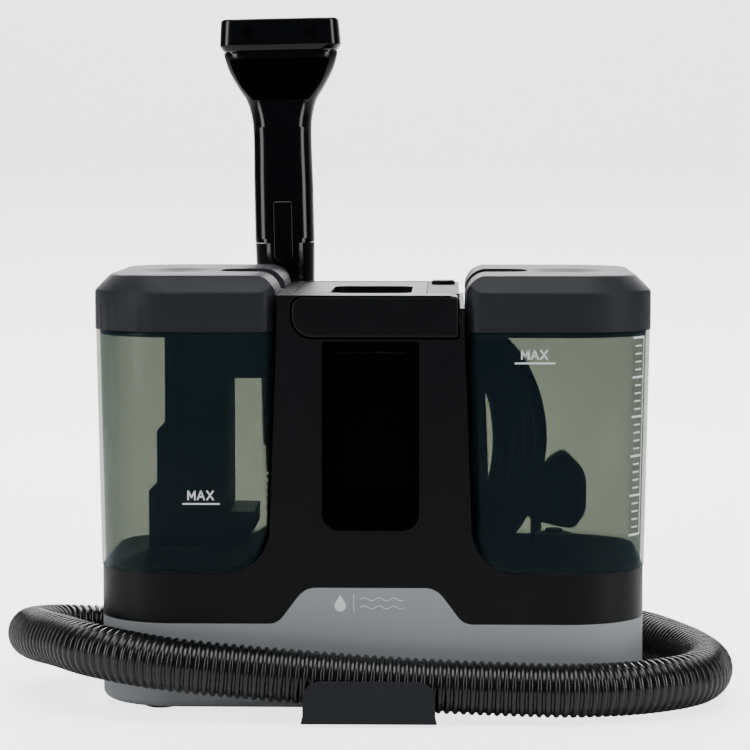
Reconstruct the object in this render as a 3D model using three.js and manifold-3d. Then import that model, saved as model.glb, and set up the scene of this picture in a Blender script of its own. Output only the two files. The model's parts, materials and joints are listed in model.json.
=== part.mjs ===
// Spot extractor: a portable upholstery and carpet cleaner with two lift-off tanks, a wrapped suction hose
// and a hand tool parked upright behind the body. Millimetres, +Z up, +X to the user's right, front at -Y.
// The origin is the middle of the footprint, on the floor.
import * as THREE from "three";
import { mergeVertices } from "three/addons/utils/BufferGeometryUtils.js";
import Module from "manifold-3d";

const wasm = await Module();
wasm.setup();

// ---------------------------------------------------------------- driving dimensions
const HALF_WIDTH = 174; // half the width of the lower housing
const HALF_DEPTH = 100; // half the depth of everything but the hose, tool and cord
const CORNER = 50; // plan radius of the four vertical corners
const WALL = 3; // moulded wall of the housings
const GAP = 0.4; // assembly gap between separate mouldings

const FOOT_HEIGHT = 4; // also the height of the underside
const BASE_TOP = 57.9; // joint between grey base and black body
const PANEL_TOP = 80.9; // top of the raised trapezoid on the base's front
const PANEL_HALF_TOP = 41.5;
const PANEL_HALF_BOTTOM = 58.5;
const PANEL_SOFT = 5; // reach of the rounding of the trapezoid's four corners
const SHELF = 89.7; // platform the tanks stand on
const COLUMN_TOP = 265;

const TANK_BOTTOM = SHELF + GAP;
const TANK_TOP = 241.3;
const TANK_WALL = 2.5;
const TANK_INNER_TOP = 59.5; // distance of a tank's inner wall from the centre plane, at the top
const TANK_INNER_BOTTOM = 64; // and where its lower corner starts
const TANK_OUTER_TOP = 177.5;
const TANK_OUTER_BOTTOM = 174.5;
const TANK_CORNER = 29; // radius of the tank's lower inner corner
const TANK_EDGE = 13; // plan radius of the tank's upright inner corner at the front
const TANK_REAR_EDGE = 18; // and at the rear, where the body has a fillet to match
const TANK_PLAY = 0.7; // clearance between a tank and the column beside it
const TANK_REACH = 250; // well past the tank's outer wall, for outlines left open on that side
const LID_TOP = 277;
const LID_CHAMFER = 10.5;
const LID_CORNER = 14; // rounding of a lid's inner upper corner

const HANDLE_LEFT = -50;
const HANDLE_RIGHT = 55.5;
const HANDLE_BOTTOM = 237.9;
const HANDLE_TOP = 264.6;
const HANDLE_BACK = -70;

const HOSE_RADIUS = 17;
const HOSE_BORE = 13;
const TOOL_X = -65.8; // where the parked tool's joint line crosses its axis
const TOOL_Y = 125;
const TOOL_Z = 291;
const TOOL_LEAN = THREE.MathUtils.degToRad(-1.2);

// ---------------------------------------------------------------- solids from three.js geometry

// A closed geometry as a solid that can be joined and cut.
function solid(geometry) {
  const bare = geometry.index ? geometry.toNonIndexed() : geometry.clone();
  bare.deleteAttribute("normal");
  bare.deleteAttribute("uv");
  const merged = mergeVertices(bare, 1e-3);
  const vertProperties = new Float32Array(merged.attributes.position.array);
  const triVerts = new Uint32Array(merged.index.array);
  return new wasm.Manifold(new wasm.Mesh({ numProp: 3, vertProperties, triVerts }));
}

// A solid back as a geometry a mesh can show.
function geometryOf(made) {
  const mesh = made.getMesh();
  const positions = new Float32Array(mesh.numVert * 3);
  for (let i = 0; i < mesh.numVert; i++) {
    positions.set(mesh.vertProperties.subarray(i * mesh.numProp, i * mesh.numProp + 3), i * 3);
  }
  const geometry = new THREE.BufferGeometry();
  geometry.setAttribute("position", new THREE.BufferAttribute(positions, 3));
  geometry.setIndex(new THREE.BufferAttribute(new Uint32Array(mesh.triVerts), 1));
  geometry.computeVertexNormals();
  return geometry;
}

const join = (...parts) => parts.reduce((all, part) => all.add(part));
const cut = (body, ...tools) => tools.reduce((left, tool) => left.subtract(tool), body);
const mirrored = (made) => reshape(made, (p) => p.setX(-p.x), true);

// Moves every vertex of a solid by a rule. A rule that mirrors also turns the faces round.
function reshape(made, rule, mirrors = false) {
  const geometry = geometryOf(made);
  const position = geometry.attributes.position;
  const point = new THREE.Vector3();
  for (let i = 0; i < position.count; i++) {
    rule(point.fromBufferAttribute(position, i));
    position.setXYZ(i, point.x, point.y, point.z);
  }
  if (mirrors) {
    const index = geometry.index.array;
    for (let i = 0; i < index.length; i += 3) {
      [index[i + 1], index[i + 2]] = [index[i + 2], index[i + 1]];
    }
  }
  return solid(geometry);
}

// A rectangle with one radius, or a radius for each corner: lower left, lower right, upper right, upper left.
function roundedRect(x0, y0, x1, y1, radius) {
  const [ll, lr, ur, ul] = Array.isArray(radius) ? radius : [radius, radius, radius, radius];
  const shape = new THREE.Shape();
  const corner = (cx, cy, r, start) => {
    if (r > 0) shape.absarc(cx, cy, r, start, start + Math.PI / 2, false);
    else shape.lineTo(cx, cy);
  };
  shape.moveTo(x0 + ll, y0);
  corner(x1 - lr, y0 + lr, lr, -Math.PI / 2);
  corner(x1 - ur, y1 - ur, ur, 0);
  corner(x0 + ul, y1 - ul, ul, Math.PI / 2);
  corner(x0 + ll, y0 + ll, ll, Math.PI);
  return shape;
}

// A shape in the XY plane raised from z0 to z1.
function raise(shape, z0, z1, segments = 3) {
  const options = { depth: z1 - z0, bevelEnabled: false, curveSegments: segments };
  return solid(new THREE.ExtrudeGeometry(shape, options).translate(0, 0, z0));
}

// A shape drawn in the XZ plane, run along Y from y0 to y1.
function run(shape, y0, y1, segments = 3) {
  const options = { depth: y1 - y0, bevelEnabled: false, curveSegments: segments };
  const geometry = new THREE.ExtrudeGeometry(shape, options);
  return solid(geometry.rotateX(Math.PI / 2).translate(0, y1, 0));
}

function box(x0, x1, y0, y1, z0, z1) {
  const geometry = new THREE.BoxGeometry(x1 - x0, y1 - y0, z1 - z0);
  return solid(geometry.translate((x0 + x1) / 2, (y0 + y1) / 2, (z0 + z1) / 2));
}

// A cylinder or cone between two heights on a vertical axis.
function disc(radius, z0, z1, x = 0, y = 0, sides = 20, topRadius = radius) {
  const geometry = new THREE.CylinderGeometry(topRadius, radius, z1 - z0, sides);
  return solid(geometry.rotateX(Math.PI / 2).translate(x, y, (z0 + z1) / 2));
}

// A cylinder lying along Y.
function rodY(radius, y0, y1, x, z, sides = 16, frontRadius = radius) {
  const geometry = new THREE.CylinderGeometry(radius, frontRadius, y1 - y0, sides);
  return solid(geometry.translate(x, (y0 + y1) / 2, z));
}

// A cylinder lying along X.
function rodX(radius, x0, x1, y, z, sides = 16) {
  const geometry = new THREE.CylinderGeometry(radius, radius, x1 - x0, sides);
  return solid(geometry.rotateZ(-Math.PI / 2).translate((x0 + x1) / 2, y, z));
}

// A tube or rod of a given section swept along a curve.
function sweep(curve, steps, outer, bore = 0, sides = 5) {
  const ring = new THREE.Shape().absarc(0, 0, outer, 0, 2 * Math.PI, false);
  if (bore > 0) ring.holes.push(new THREE.Path().absarc(0, 0, bore, 0, 2 * Math.PI, true));
  const options = { steps, extrudePath: curve, bevelEnabled: false, curveSegments: sides };
  return solid(new THREE.ExtrudeGeometry(ring, options));
}

// A standing limb whose half width and half depth follow [z, half width, half depth] stations.
// power 2 gives an ellipse in plan, and a higher power squares it off.
function limb(stations, power = 2, sides = 16) {
  const rows = stations.length - 1;
  const geometry = new THREE.CylinderGeometry(1, 1, rows, sides, rows).rotateX(Math.PI / 2);
  const position = geometry.attributes.position;
  for (let i = 0; i < position.count; i++) {
    const [z, halfX, halfY] = stations[Math.round(position.getZ(i) + rows / 2)];
    const [x, y] = [position.getX(i), position.getY(i)];
    const onAxis = Math.hypot(x, y) < 0.5;
    const stretch = onAxis ? 0 : (Math.abs(x) ** power + Math.abs(y) ** power) ** (-1 / power);
    position.setXYZ(i, x * stretch * halfX, y * stretch * halfY, z);
  }
  return solid(geometry);
}

// ---------------------------------------------------------------- the scene graph

const machine = new THREE.Group();
const tool = new THREE.Group(); // the parked hand tool, in its own frame with its joint line at z 0
tool.position.set(TOOL_X, TOOL_Y, TOOL_Z);
tool.rotation.y = TOOL_LEAN;
machine.add(tool);

function plastic(color, roughness = 0.45) {
  return new THREE.MeshStandardMaterial({ color, roughness, metalness: 0 });
}
const LOOKS = {
  black: plastic(0x15171b, 0.4),
  gloss: plastic(0x050608, 0.12),
  charcoal: plastic(0x33353b, 0.5),
  grey: plastic(0x85898c, 0.45),
  smoked: new THREE.MeshStandardMaterial({
    color: 0x6b6f62, roughness: 0.08, metalness: 0, transparent: true, opacity: 0.45,
  }),
  ducting: plastic(0x1b2a35, 0.35),
  rubber: plastic(0x1a1a1a, 0.85),
  hose: plastic(0x101012, 0.35),
  bristle: plastic(0x202226, 0.8),
  steel: new THREE.MeshStandardMaterial({ color: 0xb8babd, roughness: 0.3, metalness: 1 }),
  brass: new THREE.MeshStandardMaterial({ color: 0xc9a24a, roughness: 0.35, metalness: 1 }),
  board: plastic(0x1d5a38, 0.6),
};

function add(name, made, look, parent = machine) {
  const mesh = new THREE.Mesh(geometryOf(made), LOOKS[look]);
  mesh.name = name;
  parent.add(mesh);
}

// The machine's plan outline, inset by a margin.
function plan(inset, halfWidth = HALF_WIDTH) {
  const [w, d] = [halfWidth - inset, HALF_DEPTH - inset];
  return roundedRect(-w, -d, w, d, CORNER - inset);
}

// ---------------------------------------------------------------- lower housing

// The raised trapezoid on the front, drawn in XZ, grown by a margin on its sides and top.
function frontPanel(grow) {
  const [top, bottom, z0, z1] = [PANEL_HALF_TOP + grow, PANEL_HALF_BOTTOM + grow, BASE_TOP, PANEL_TOP + grow];
  const lean = (bottom - top) / (z1 - z0);
  const shape = new THREE.Shape();
  shape.moveTo(-bottom - PANEL_SOFT, z0 - 10);
  shape.lineTo(bottom + PANEL_SOFT, z0 - 10);
  shape.lineTo(bottom + PANEL_SOFT, z0);
  shape.quadraticCurveTo(bottom, z0, bottom - PANEL_SOFT * lean, z0 + PANEL_SOFT);
  shape.lineTo(top + PANEL_SOFT * lean, z1 - PANEL_SOFT);
  shape.quadraticCurveTo(top, z1, top - PANEL_SOFT, z1);
  shape.lineTo(-top + PANEL_SOFT, z1);
  shape.quadraticCurveTo(-top, z1, -top - PANEL_SOFT * lean, z1 - PANEL_SOFT);
  shape.lineTo(-bottom + PANEL_SOFT * lean, z0 + PANEL_SOFT);
  shape.quadraticCurveTo(-bottom, z0, -bottom - PANEL_SOFT, z0);
  return shape;
}

const PORT = { y: 45, z: 30, hole: 20 }; // where the hose leaves the left side
const CORD_EXIT = { x: 110, z: 32, hole: 7.2 };
const RIB_X = 25; // the hose rest's two guide ribs
const RIB_SLOT = 3.5;

function baseTray() {
  const shell = join(
    raise(plan(0), FOOT_HEIGHT, BASE_TOP, 5),
    run(frontPanel(0), -HALF_DEPTH, -HALF_DEPTH + WALL, 3),
  );
  const slots = [-RIB_X, RIB_X].map((x) => box(x - RIB_SLOT, x + RIB_SLOT, -94, -38, 0, 10));
  return cut(
    shell,
    raise(plan(WALL), FOOT_HEIGHT + WALL, BASE_TOP + 1, 5),
    rodX(PORT.hole, -HALF_WIDTH - 5, -HALF_WIDTH + 10, PORT.y, PORT.z),
    rodY(CORD_EXIT.hole, HALF_DEPTH - 6, HALF_DEPTH + 5, CORD_EXIT.x, CORD_EXIT.z, 12),
    ...slots,
  );
}

// The pull-out rest that holds the wrapped hose against the front: floor plate, upright lip and two ribs.
const REST = {
  half: 41, flare: 1.2, front: -142, back: -38, bottom: 2.2, top: 28.7, plate: 1.4, lip: 2.4, corner: 11,
};
const FLARE_HEIGHT = 5;
function hoseRest() {
  const { half, flare, front, back, bottom, top, corner } = REST;
  const lip = new THREE.Shape();
  lip.moveTo(-half - flare, bottom);
  lip.lineTo(half + flare, bottom);
  lip.lineTo(half, bottom + FLARE_HEIGHT);
  lip.lineTo(half, top - corner);
  lip.absarc(half - corner, top - corner, corner, 0, Math.PI / 2, false);
  lip.lineTo(corner - half, top);
  lip.absarc(corner - half, top - corner, corner, Math.PI / 2, Math.PI, false);
  lip.lineTo(-half, bottom + FLARE_HEIGHT);
  const ribs = [-RIB_X, RIB_X].flatMap((x) => [
    box(x - 2.5, x + 2.5, -62, -42, bottom + 0.5, 8.6),
    box(x - 6, x + 6, -62, -42, 7.6, 10),
  ]);
  const plate = box(-half, half, front, back, bottom, bottom + REST.plate);
  return join(plate, run(lip, front, front + REST.lip, 5), ...ribs);
}

add("base_tray", baseTray(), "grey");
add("hose_rest", hoseRest(), "charcoal");
const FOOT = { x: 135, y: 70, radius: 11, top: 9 };
for (const [name, x, y] of [
  ["foot_front_left", -1, -1],
  ["foot_front_right", 1, -1],
  ["foot_rear_left", -1, 1],
  ["foot_rear_right", 1, 1],
  ["foot_centre", 0, 0],
]) {
  add(name, disc(FOOT.radius, 0, FOOT_HEIGHT - 0.05, x * FOOT.x, y * FOOT.y, 12, FOOT.top), "rubber");
}

// ---------------------------------------------------------------- the space a tank takes up, on the right

// A tank's front outline: sloping inner wall, broad lower inner corner, open towards the outside.
function tankOutline(inset, bottom, top) {
  const radius = TANK_CORNER - inset;
  const inner = TANK_INNER_BOTTOM + inset;
  const shape = new THREE.Shape();
  shape.moveTo(TANK_INNER_TOP + inset, top);
  shape.lineTo(inner, bottom + radius);
  shape.absarc(inner + radius, bottom + radius, radius, Math.PI, 1.5 * Math.PI, false);
  shape.lineTo(TANK_REACH, bottom);
  shape.lineTo(TANK_REACH, top);
  return shape;
}

// A plan outline with the tank's two inner corners rounded, a hair outside the tank's own walls.
function innerPlan(inset) {
  const margin = inset - 0.05;
  return roundedRect(TANK_INNER_TOP + margin, -HALF_DEPTH + margin, TANK_REACH, HALF_DEPTH - margin,
    [TANK_EDGE - inset, 0, 0, TANK_REAR_EDGE - inset]);
}

function tankBlock(inset, bottom, top) {
  const taper = (TANK_OUTER_TOP - TANK_OUTER_BOTTOM) / (TANK_TOP - TANK_BOTTOM) / TANK_OUTER_TOP;
  const sides = reshape(raise(plan(inset, TANK_OUTER_TOP), 60, 300, 5), (p) => {
    p.x *= 1 - (TANK_TOP - p.z) * taper;
  });
  const lean = (TANK_INNER_BOTTOM - TANK_INNER_TOP) / (top - bottom - TANK_CORNER + inset);
  const corners = reshape(raise(innerPlan(inset), 60, 300, 4), (p) => {
    p.x += (top - p.z) * lean;
  });
  return sides.intersect(corners).intersect(run(tankOutline(inset, bottom, top), -120, 120, 6));
}

// ---------------------------------------------------------------- black upper housing

const RECESS = { half: 30.5, bottom: 117, top: 236.2, back: -31 }; // the hand recess under the handle
const WELL = { x0: -27, x1: 25, y0: -62, y1: 34 }; // the grip well behind the handle bar
const INLET = { x: -125, y: 35, hole: 15 }; // dirty water rises here into its tank
const OUTLET = { x: 120, y: 40, hole: 10 }; // clean water leaves its tank here
const DECK = 234.5; // underside of the deck below the handle
const DECK_TOP = 246;

// The upper housing's front outline, drawn in XZ: a broad base with a column rising between the tanks.
function bodyOutline(inset) {
  const side = TANK_INNER_BOTTOM - TANK_PLAY - inset;
  const radius = TANK_CORNER + inset;
  const arcY = SHELF - inset + radius;
  const topHalf = TANK_INNER_TOP - TANK_PLAY - inset;
  const shape = new THREE.Shape();
  shape.moveTo(-HALF_WIDTH - 1, BASE_TOP + GAP - inset);
  shape.lineTo(HALF_WIDTH + 1, BASE_TOP + GAP - inset);
  shape.lineTo(HALF_WIDTH + 1, SHELF - inset);
  shape.absarc(side + radius, arcY, radius, -Math.PI / 2, -Math.PI, true);
  shape.lineTo(topHalf, TANK_TOP);
  shape.lineTo(topHalf, COLUMN_TOP);
  shape.lineTo(-topHalf, COLUMN_TOP);
  shape.lineTo(-topHalf, TANK_TOP);
  shape.absarc(-side - radius, arcY, radius, 0, -Math.PI / 2, true);
  shape.lineTo(-HALF_WIDTH - 1, SHELF - inset);
  return shape;
}

// The handle bar's front outline: a rounded left end and a square right end.
function barOutline(grow) {
  return roundedRect(HANDLE_LEFT - grow, HANDLE_BOTTOM - grow, HANDLE_RIGHT + grow, HANDLE_TOP,
    [13.5 + grow, 2, 3, 7]);
}

// The fillet between the column's side and the rear, hugging the tank's rounded inner corner.
function rearFillet() {
  const [side, front] = [TANK_INNER_BOTTOM + TANK_REAR_EDGE, HALF_DEPTH - TANK_REAR_EDGE];
  const block = box(TANK_INNER_TOP - WALL, side, front, HALF_DEPTH, SHELF - 2, TANK_TOP - 0.5);
  return cut(block, tankBlock(-TANK_PLAY, TANK_BOTTOM, TANK_TOP));
}

function upperHousing() {
  const reach = HALF_DEPTH + 5;
  const shell = run(bodyOutline(0), -reach, reach, 6).intersect(raise(plan(0), 50, 300, 5));
  const hollow = run(bodyOutline(WALL), -reach, reach, 4).intersect(raise(plan(WALL), 50, DECK, 5));
  const handleSeat = join(
    run(barOutline(0.5), -reach, HANDLE_BACK + GAP),
    box(HANDLE_LEFT - 0.5, HANDLE_RIGHT + 0.5, HANDLE_BACK, 97.4, DECK_TOP, 300),
    box(HANDLE_RIGHT - 5, 90, -reach, reach, 257, 300),
  );
  const mouth = roundedRect(-RECESS.half, RECESS.bottom, RECESS.half, RECESS.top, [11, 11, 1, 1]);
  return cut(
    join(cut(shell, hollow), rearFillet(), mirrored(rearFillet())),
    handleSeat,
    run(frontPanel(GAP), -reach, -HALF_DEPTH + WALL + GAP, 3),
    run(mouth, -reach, -80),
    box(WELL.x0 - 2.5, WELL.x1 + 2.5, HANDLE_BACK - 12, WELL.y1 + 2.5, DECK - 2, 250),
    disc(INLET.hole, 70, 100, INLET.x, INLET.y),
    disc(OUTLET.hole, 70, 100, OUTLET.x, OUTLET.y),
  );
}

// Exhaust slots in the rear face.
const VENT = { count: 6, pitch: 8, x0: -26, x1: 12, bottom: 128, height: 3.4 };
function ventSlots() {
  return Array.from({ length: VENT.count }, (_, i) => {
    const z = VENT.bottom + i * VENT.pitch;
    return box(VENT.x0, VENT.x1, HALF_DEPTH - 6, HALF_DEPTH + 5, z, z + VENT.height);
  });
}

const upper = upperHousing();
const FAR = 400;
add("front_housing", upper.intersect(box(-FAR, FAR, -FAR, -GAP / 2, 0, FAR)), "black");
add("rear_housing", cut(upper.intersect(box(-FAR, FAR, GAP / 2, FAR, 0, FAR)), ...ventSlots()), "black");

// The liner of the hand recess, opening upwards into the well behind the handle bar.
const LINER = { wall: 2, corner: 11, top: 229, floor: 224, rim: 249.5, wellCorner: 10 };
function handLiner() {
  const { wall, corner } = LINER;
  const front = -HALF_DEPTH + WALL + 0.3;
  const deep = (grow, back) => {
    const { half, bottom } = RECESS;
    const mouth = roundedRect(-half - grow, bottom - grow, half + grow, LINER.top, [corner, corner, 1, 1]);
    return run(mouth, front, back);
  };
  const shaft = (grow, z0) => {
    const well = roundedRect(WELL.x0 - grow, WELL.y0 - grow, WELL.x1 + grow, WELL.y1 + grow, LINER.wellCorner);
    return raise(well, z0, LINER.rim);
  };
  const block = join(deep(wall, RECESS.back + wall), shaft(wall, LINER.floor - wall));
  return cut(block, deep(0, RECESS.back), shaft(0, LINER.floor),
    box(-40, 40, front - 1, WELL.y0 - wall, LINER.top - 0.1, LINER.rim + 10));
}
add("hand_recess_liner", handLiner(), "gloss");

// The carry handle's bar, and the cover behind it with the well that clears the fingers.
add("handle_bar", run(barOutline(0), -HALF_DEPTH, HANDLE_BACK, 5), "black");

const SPLIT = 34.5; // joint between the top cover and the switch panel
const BUTTON = { x: 45, y: 62, radius: 8, stem: 2.5, rise: 3 };
const SWITCH = { halfX: 7, halfY: 12, top: 253 };
const COVER_WALL = 2.5;

// A lid-like moulding between two X positions, hollow below, reaching from the handle bar to the back.
function coverShell(x0, x1) {
  const outline = (inset) => roundedRect(x0 + inset, HANDLE_BACK + GAP + inset, x1 - inset, 97 - inset, 1);
  return cut(
    raise(outline(0), DECK_TOP + 0.1, HANDLE_TOP),
    raise(outline(COVER_WALL), DECK_TOP - 1, HANDLE_TOP - COVER_WALL),
  );
}
const wellBlock = (grow, z0, z1) =>
  raise(roundedRect(WELL.x0 - grow, WELL.y0 - grow, WELL.x1 + grow, WELL.y1 + grow, 10 + grow), z0, z1);

add("top_cover", cut(
  join(coverShell(HANDLE_LEFT, SPLIT), wellBlock(COVER_WALL, 250, HANDLE_TOP - 1)),
  wellBlock(0, 240, 300),
), "charcoal");
add("switch_panel", cut(
  coverShell(SPLIT + GAP, HANDLE_RIGHT),
  disc(BUTTON.radius + 0.3, 250, 300, BUTTON.x, BUTTON.y, 24),
), "charcoal");
add("power_button", join(
  disc(BUTTON.radius, 259, HANDLE_TOP + BUTTON.rise, BUTTON.x, BUTTON.y, 24),
  disc(BUTTON.stem, SWITCH.top + 3.3, 260, BUTTON.x, BUTTON.y, 12),
), "black");
add("power_switch", box(
  BUTTON.x - SWITCH.halfX, BUTTON.x + SWITCH.halfX, BUTTON.y - SWITCH.halfY, BUTTON.y + SWITCH.halfY,
  DECK_TOP + 0.05, SWITCH.top,
), "black");

// ---------------------------------------------------------------- tanks and lids, drawn on the right side

const RIM_GAP = 0.5;
const tankShell = () =>
  cut(tankBlock(0, TANK_BOTTOM, TANK_TOP), tankBlock(TANK_WALL, TANK_BOTTOM + TANK_WALL, TANK_TOP + 20));

// The band between two insets of the tank's wall, used for the lid's skirt and its seal.
const SKIRT = { outer: TANK_WALL + 1.8, inner: TANK_WALL + 3.5, bottom: 238.2 };
const SEAL = { outer: TANK_WALL + 0.3, inner: TANK_WALL + 1.5, bottom: 238.4, top: TANK_TOP - 0.3 };
const tankBand = (outer, inner, z0, z1) =>
  cut(tankBlock(outer, 0, 280), tankBlock(inner, 0, 290)).intersect(box(0, 200, -120, 120, z0, z1));

const CHANNEL = { inner: 40, outer: 100, y0: -32, y1: 16, floor: 264, corner: 14 }; // the finger channel
const DISH = { x: 126, y: -8, halfX: 29, halfY: 33, deep: 4 };

function tankLid() {
  const bottom = TANK_TOP + RIM_GAP;
  const bevel = { bevelEnabled: true, bevelThickness: LID_CHAMFER, bevelSize: LID_CHAMFER, bevelSegments: 1 };
  const options = { depth: 40, curveSegments: 5, ...bevel };
  const chamfered = new THREE.ExtrudeGeometry(plan(LID_CHAMFER, TANK_OUTER_TOP + 0.5), options);
  chamfered.translate(0, 0, LID_TOP - LID_CHAMFER - options.depth);
  const front = roundedRect(TANK_INNER_TOP, bottom, TANK_REACH, LID_TOP, [0, 0, 0, LID_CORNER]);
  const edges = raise(innerPlan(0), 200, 300, 4);
  const outer = solid(chamfered).intersect(run(front, -120, 120, 5)).intersect(edges);
  const dish = new THREE.SphereGeometry(1, 14, 8).scale(DISH.halfX, DISH.halfY, DISH.deep);
  dish.translate(DISH.x, DISH.y, LID_TOP);
  const { corner } = CHANNEL;
  const channel = roundedRect(CHANNEL.inner, CHANNEL.y0, CHANNEL.outer, CHANNEL.y1, [0, corner, corner, 0]);
  return cut(
    join(
      cut(outer, tankBlock(TANK_WALL + 2, 0, 260)),
      tankBand(SKIRT.outer, SKIRT.inner, SKIRT.bottom, 258),
    ),
    raise(channel, CHANNEL.floor, 300),
    solid(dish),
  );
}
const lidSeal = () => tankBand(SEAL.outer, SEAL.inner, SEAL.bottom, SEAL.top);

const cleanTank = cut(tankShell(), disc(9.2, 80, 100, OUTLET.x, OUTLET.y, 16));
const dirtyTank = cut(mirrored(tankShell()), disc(13, 80, 100, INLET.x, INLET.y, 16));
add("clean_tank", cleanTank, "smoked");
add("dirty_tank", dirtyTank, "smoked");
add("clean_tank_lid", tankLid(), "charcoal");
add("dirty_tank_lid", mirrored(tankLid()), "charcoal");
add("clean_lid_seal", lidSeal(), "rubber");
add("dirty_lid_seal", mirrored(lidSeal()), "rubber");

// The separator tower in the dirty tank: a tall box on a wide foot, its outer wall stepped, under a head
// that meets the lid.
const TOWER = { y0: 4, y1: 66, foot: TANK_BOTTOM + TANK_WALL + 0.3 };
const TOWER_OUTLINE = [
  [-91, TOWER.foot], [-88, 94.4], [-80, 104], [-80, 116], [-97, 116], [-97, 205], [-68, 205], [-68, 232.5],
  [-139, 232.5], [-139, 176], [-144.5, 170], [-144.5, 134], [-150, 130], [-150, TOWER.foot],
];
function separatorTower() {
  const shape = new THREE.Shape(TOWER_OUTLINE.map(([x, z]) => new THREE.Vector2(x, z)));
  return cut(
    run(shape, TOWER.y0, TOWER.y1),
    disc(INLET.hole, 80, 200, INLET.x, INLET.y),
    disc(24, 197, 226, -119, INLET.y),
    box(-130, -76, 14, 56, 210, 226),
    rodX(9, -160, -120, INLET.y, 212, 14),
    disc(9, 220, 240, -84, INLET.y, 14),
  );
}

const FLOAT = { x: -124, y: 80, bottom: 112, top: 144, radius: 11, cap: 8 };
function waterFloat() {
  const { x, y, bottom, top, radius, cap } = FLOAT;
  return join(disc(radius, bottom, top, x, y, 16), disc(cap, top - 1, top + 4, x, y, 16));
}

function outletValve() {
  return cut(
    join(disc(8.8, 84, 95, OUTLET.x, OUTLET.y, 16), disc(13, 92.9, 98, OUTLET.x, OUTLET.y, 16)),
    disc(3.6, 80, 100, OUTLET.x, OUTLET.y, 12),
  );
}

add("separator_tower", separatorTower(), "charcoal");
add("water_float", waterFloat(), "grey");
add("outlet_valve", outletValve(), "charcoal");
add("valve_plunger", join(
  disc(2.8, 80.5, 101, OUTLET.x, OUTLET.y, 12),
  disc(6, 98.6, 101, OUTLET.x, OUTLET.y, 12),
), "charcoal");

// ---------------------------------------------------------------- inside the housings

const UP = new THREE.Vector3(0, 0, 1);
const MOTOR = { x: 0, y: 46, casing: 33, casingTop: 158, wall: 3, bottom: 85.8 };
const FAN = { radius: 45, bottom: 62, top: 88, wall: 2.5, blades: 7, blade: 37 };
function motorDisc(radius, z0, z1, sides = 20) {
  return disc(radius, z0, z1, MOTOR.x, MOTOR.y, sides);
}

function fanHousing() {
  const { radius, bottom, top, wall } = FAN;
  const [pipeX0, pipeX1, pipeZ, pipe] = [-70, -30, 74, 15];
  const shell = cut(
    join(motorDisc(radius, bottom, top), rodX(pipe, pipeX0, pipeX1, INLET.y, pipeZ, 16)),
    motorDisc(radius - wall, bottom + wall, top - wall),
  );
  return cut(
    shell,
    motorDisc(MOTOR.casing + 0.4, top - 4, top + 2),
    rodX(pipe - wall, pipeX0 - 10, pipeX1 + 10, INLET.y, pipeZ, 16),
  );
}
add("fan_housing", fanHousing(), "ducting");

add("motor_casing", cut(
  motorDisc(MOTOR.casing, MOTOR.bottom, MOTOR.casingTop),
  motorDisc(MOTOR.casing - MOTOR.wall, 80, MOTOR.casingTop - 3.5),
  motorDisc(6.4, MOTOR.casingTop - 8, MOTOR.casingTop + 2, 12),
), "steel");

// The armature, its shaft and the fan wheel at the shaft's foot.
function motorRotor() {
  const blades = Array.from({ length: FAN.blades }, (_, i) => {
    const turn = (2 * Math.PI * i) / FAN.blades;
    return reshape(box(8, FAN.blade, -1, 1, 72, 80), (p) => {
      p.applyAxisAngle(UP, turn).add(new THREE.Vector3(MOTOR.x, MOTOR.y, 0));
    });
  });
  return join(
    motorDisc(22, 96, 146),
    motorDisc(6, 70, MOTOR.casingTop - 1, 12),
    motorDisc(FAN.blade + 1, 70, 72.5, 24),
    ...blades,
  );
}
add("motor_rotor", motorRotor(), "steel");
add("motor_mount", cut(motorDisc(40, 160.5, 168), motorDisc(20, 150, 200)), "rubber");

// The duct that carries dirty water and air from the hose port up into the tank's tower.
const ductPath = new THREE.CatmullRomCurve3([
  new THREE.Vector3(-150, PORT.y, PORT.z),
  new THREE.Vector3(-140, PORT.y, PORT.z),
  new THREE.Vector3(-127, 39, 41),
  new THREE.Vector3(INLET.x, INLET.y, 58),
  new THREE.Vector3(INLET.x, INLET.y, 89.3),
]);
add("inlet_duct", sweep(ductPath, 9, 13, 11, 4), "ducting");

const PUMP = { y: -20, z: 34, x0: 40, x1: 92, radius: 17, nose: 9, bore: 6, foot: 14 };
function pumpBody() {
  const { y, z, x0, x1, radius, nose, bore, foot } = PUMP;
  return cut(
    join(
      rodX(radius, x0, x1, y, z, 18),
      rodX(nose, x1 - 1, x1 + 20, y, z, 14),
      box(x0 + 10, x1 - 8, y - foot, y + foot, FOOT_HEIGHT + WALL + 0.1, z),
    ),
    rodX(bore, x0 + 20, x1 + 28, y, z, 14),
  );
}
add("pump_body", pumpBody(), "charcoal");
add("pump_plunger", rodX(PUMP.bore - 0.5, 66, 116, PUMP.y, PUMP.z, 14), "steel");
add("control_board", box(-70, -10, 55, 90, 11, 13), "board");

// ---------------------------------------------------------------- hose

function curveThrough(points) {
  return new THREE.CatmullRomCurve3(points.map((p) => new THREE.Vector3(...p)), false, "centripetal");
}
const HOSE_PATH = curveThrough([
  [-167, 45, 30], [-180, 45, 30], [-192, 44.5, 30], [-215, 33, 32], [-227, 5, 35], [-218, -30, 38],
  [-200, -62, 40], [-174, -98, 40], [-130, -119, 36], [-79, -120.5, 31], [-30, -120.5, 27], [20, -120.5, 23.6],
  [80, -120, 20.9], [130, -119.5, 20], [172, -104, 19.5], [205, -75, 19.5], [217, -35, 19.5], [213, 10, 19.5],
  [200, 55, 19.5], [183, 95, 19.5], [150, 126, 20], [100, 140, 20], [40, 143, 22], [0, 139, 28], [-40, 131, 50],
  [-61, 126, 92], [-62.6, 125, 130], [-63.4, 125, 178],
]);
add("hose", sweep(HOSE_PATH, 54, HOSE_RADIUS, HOSE_BORE, 4), "hose");
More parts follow.
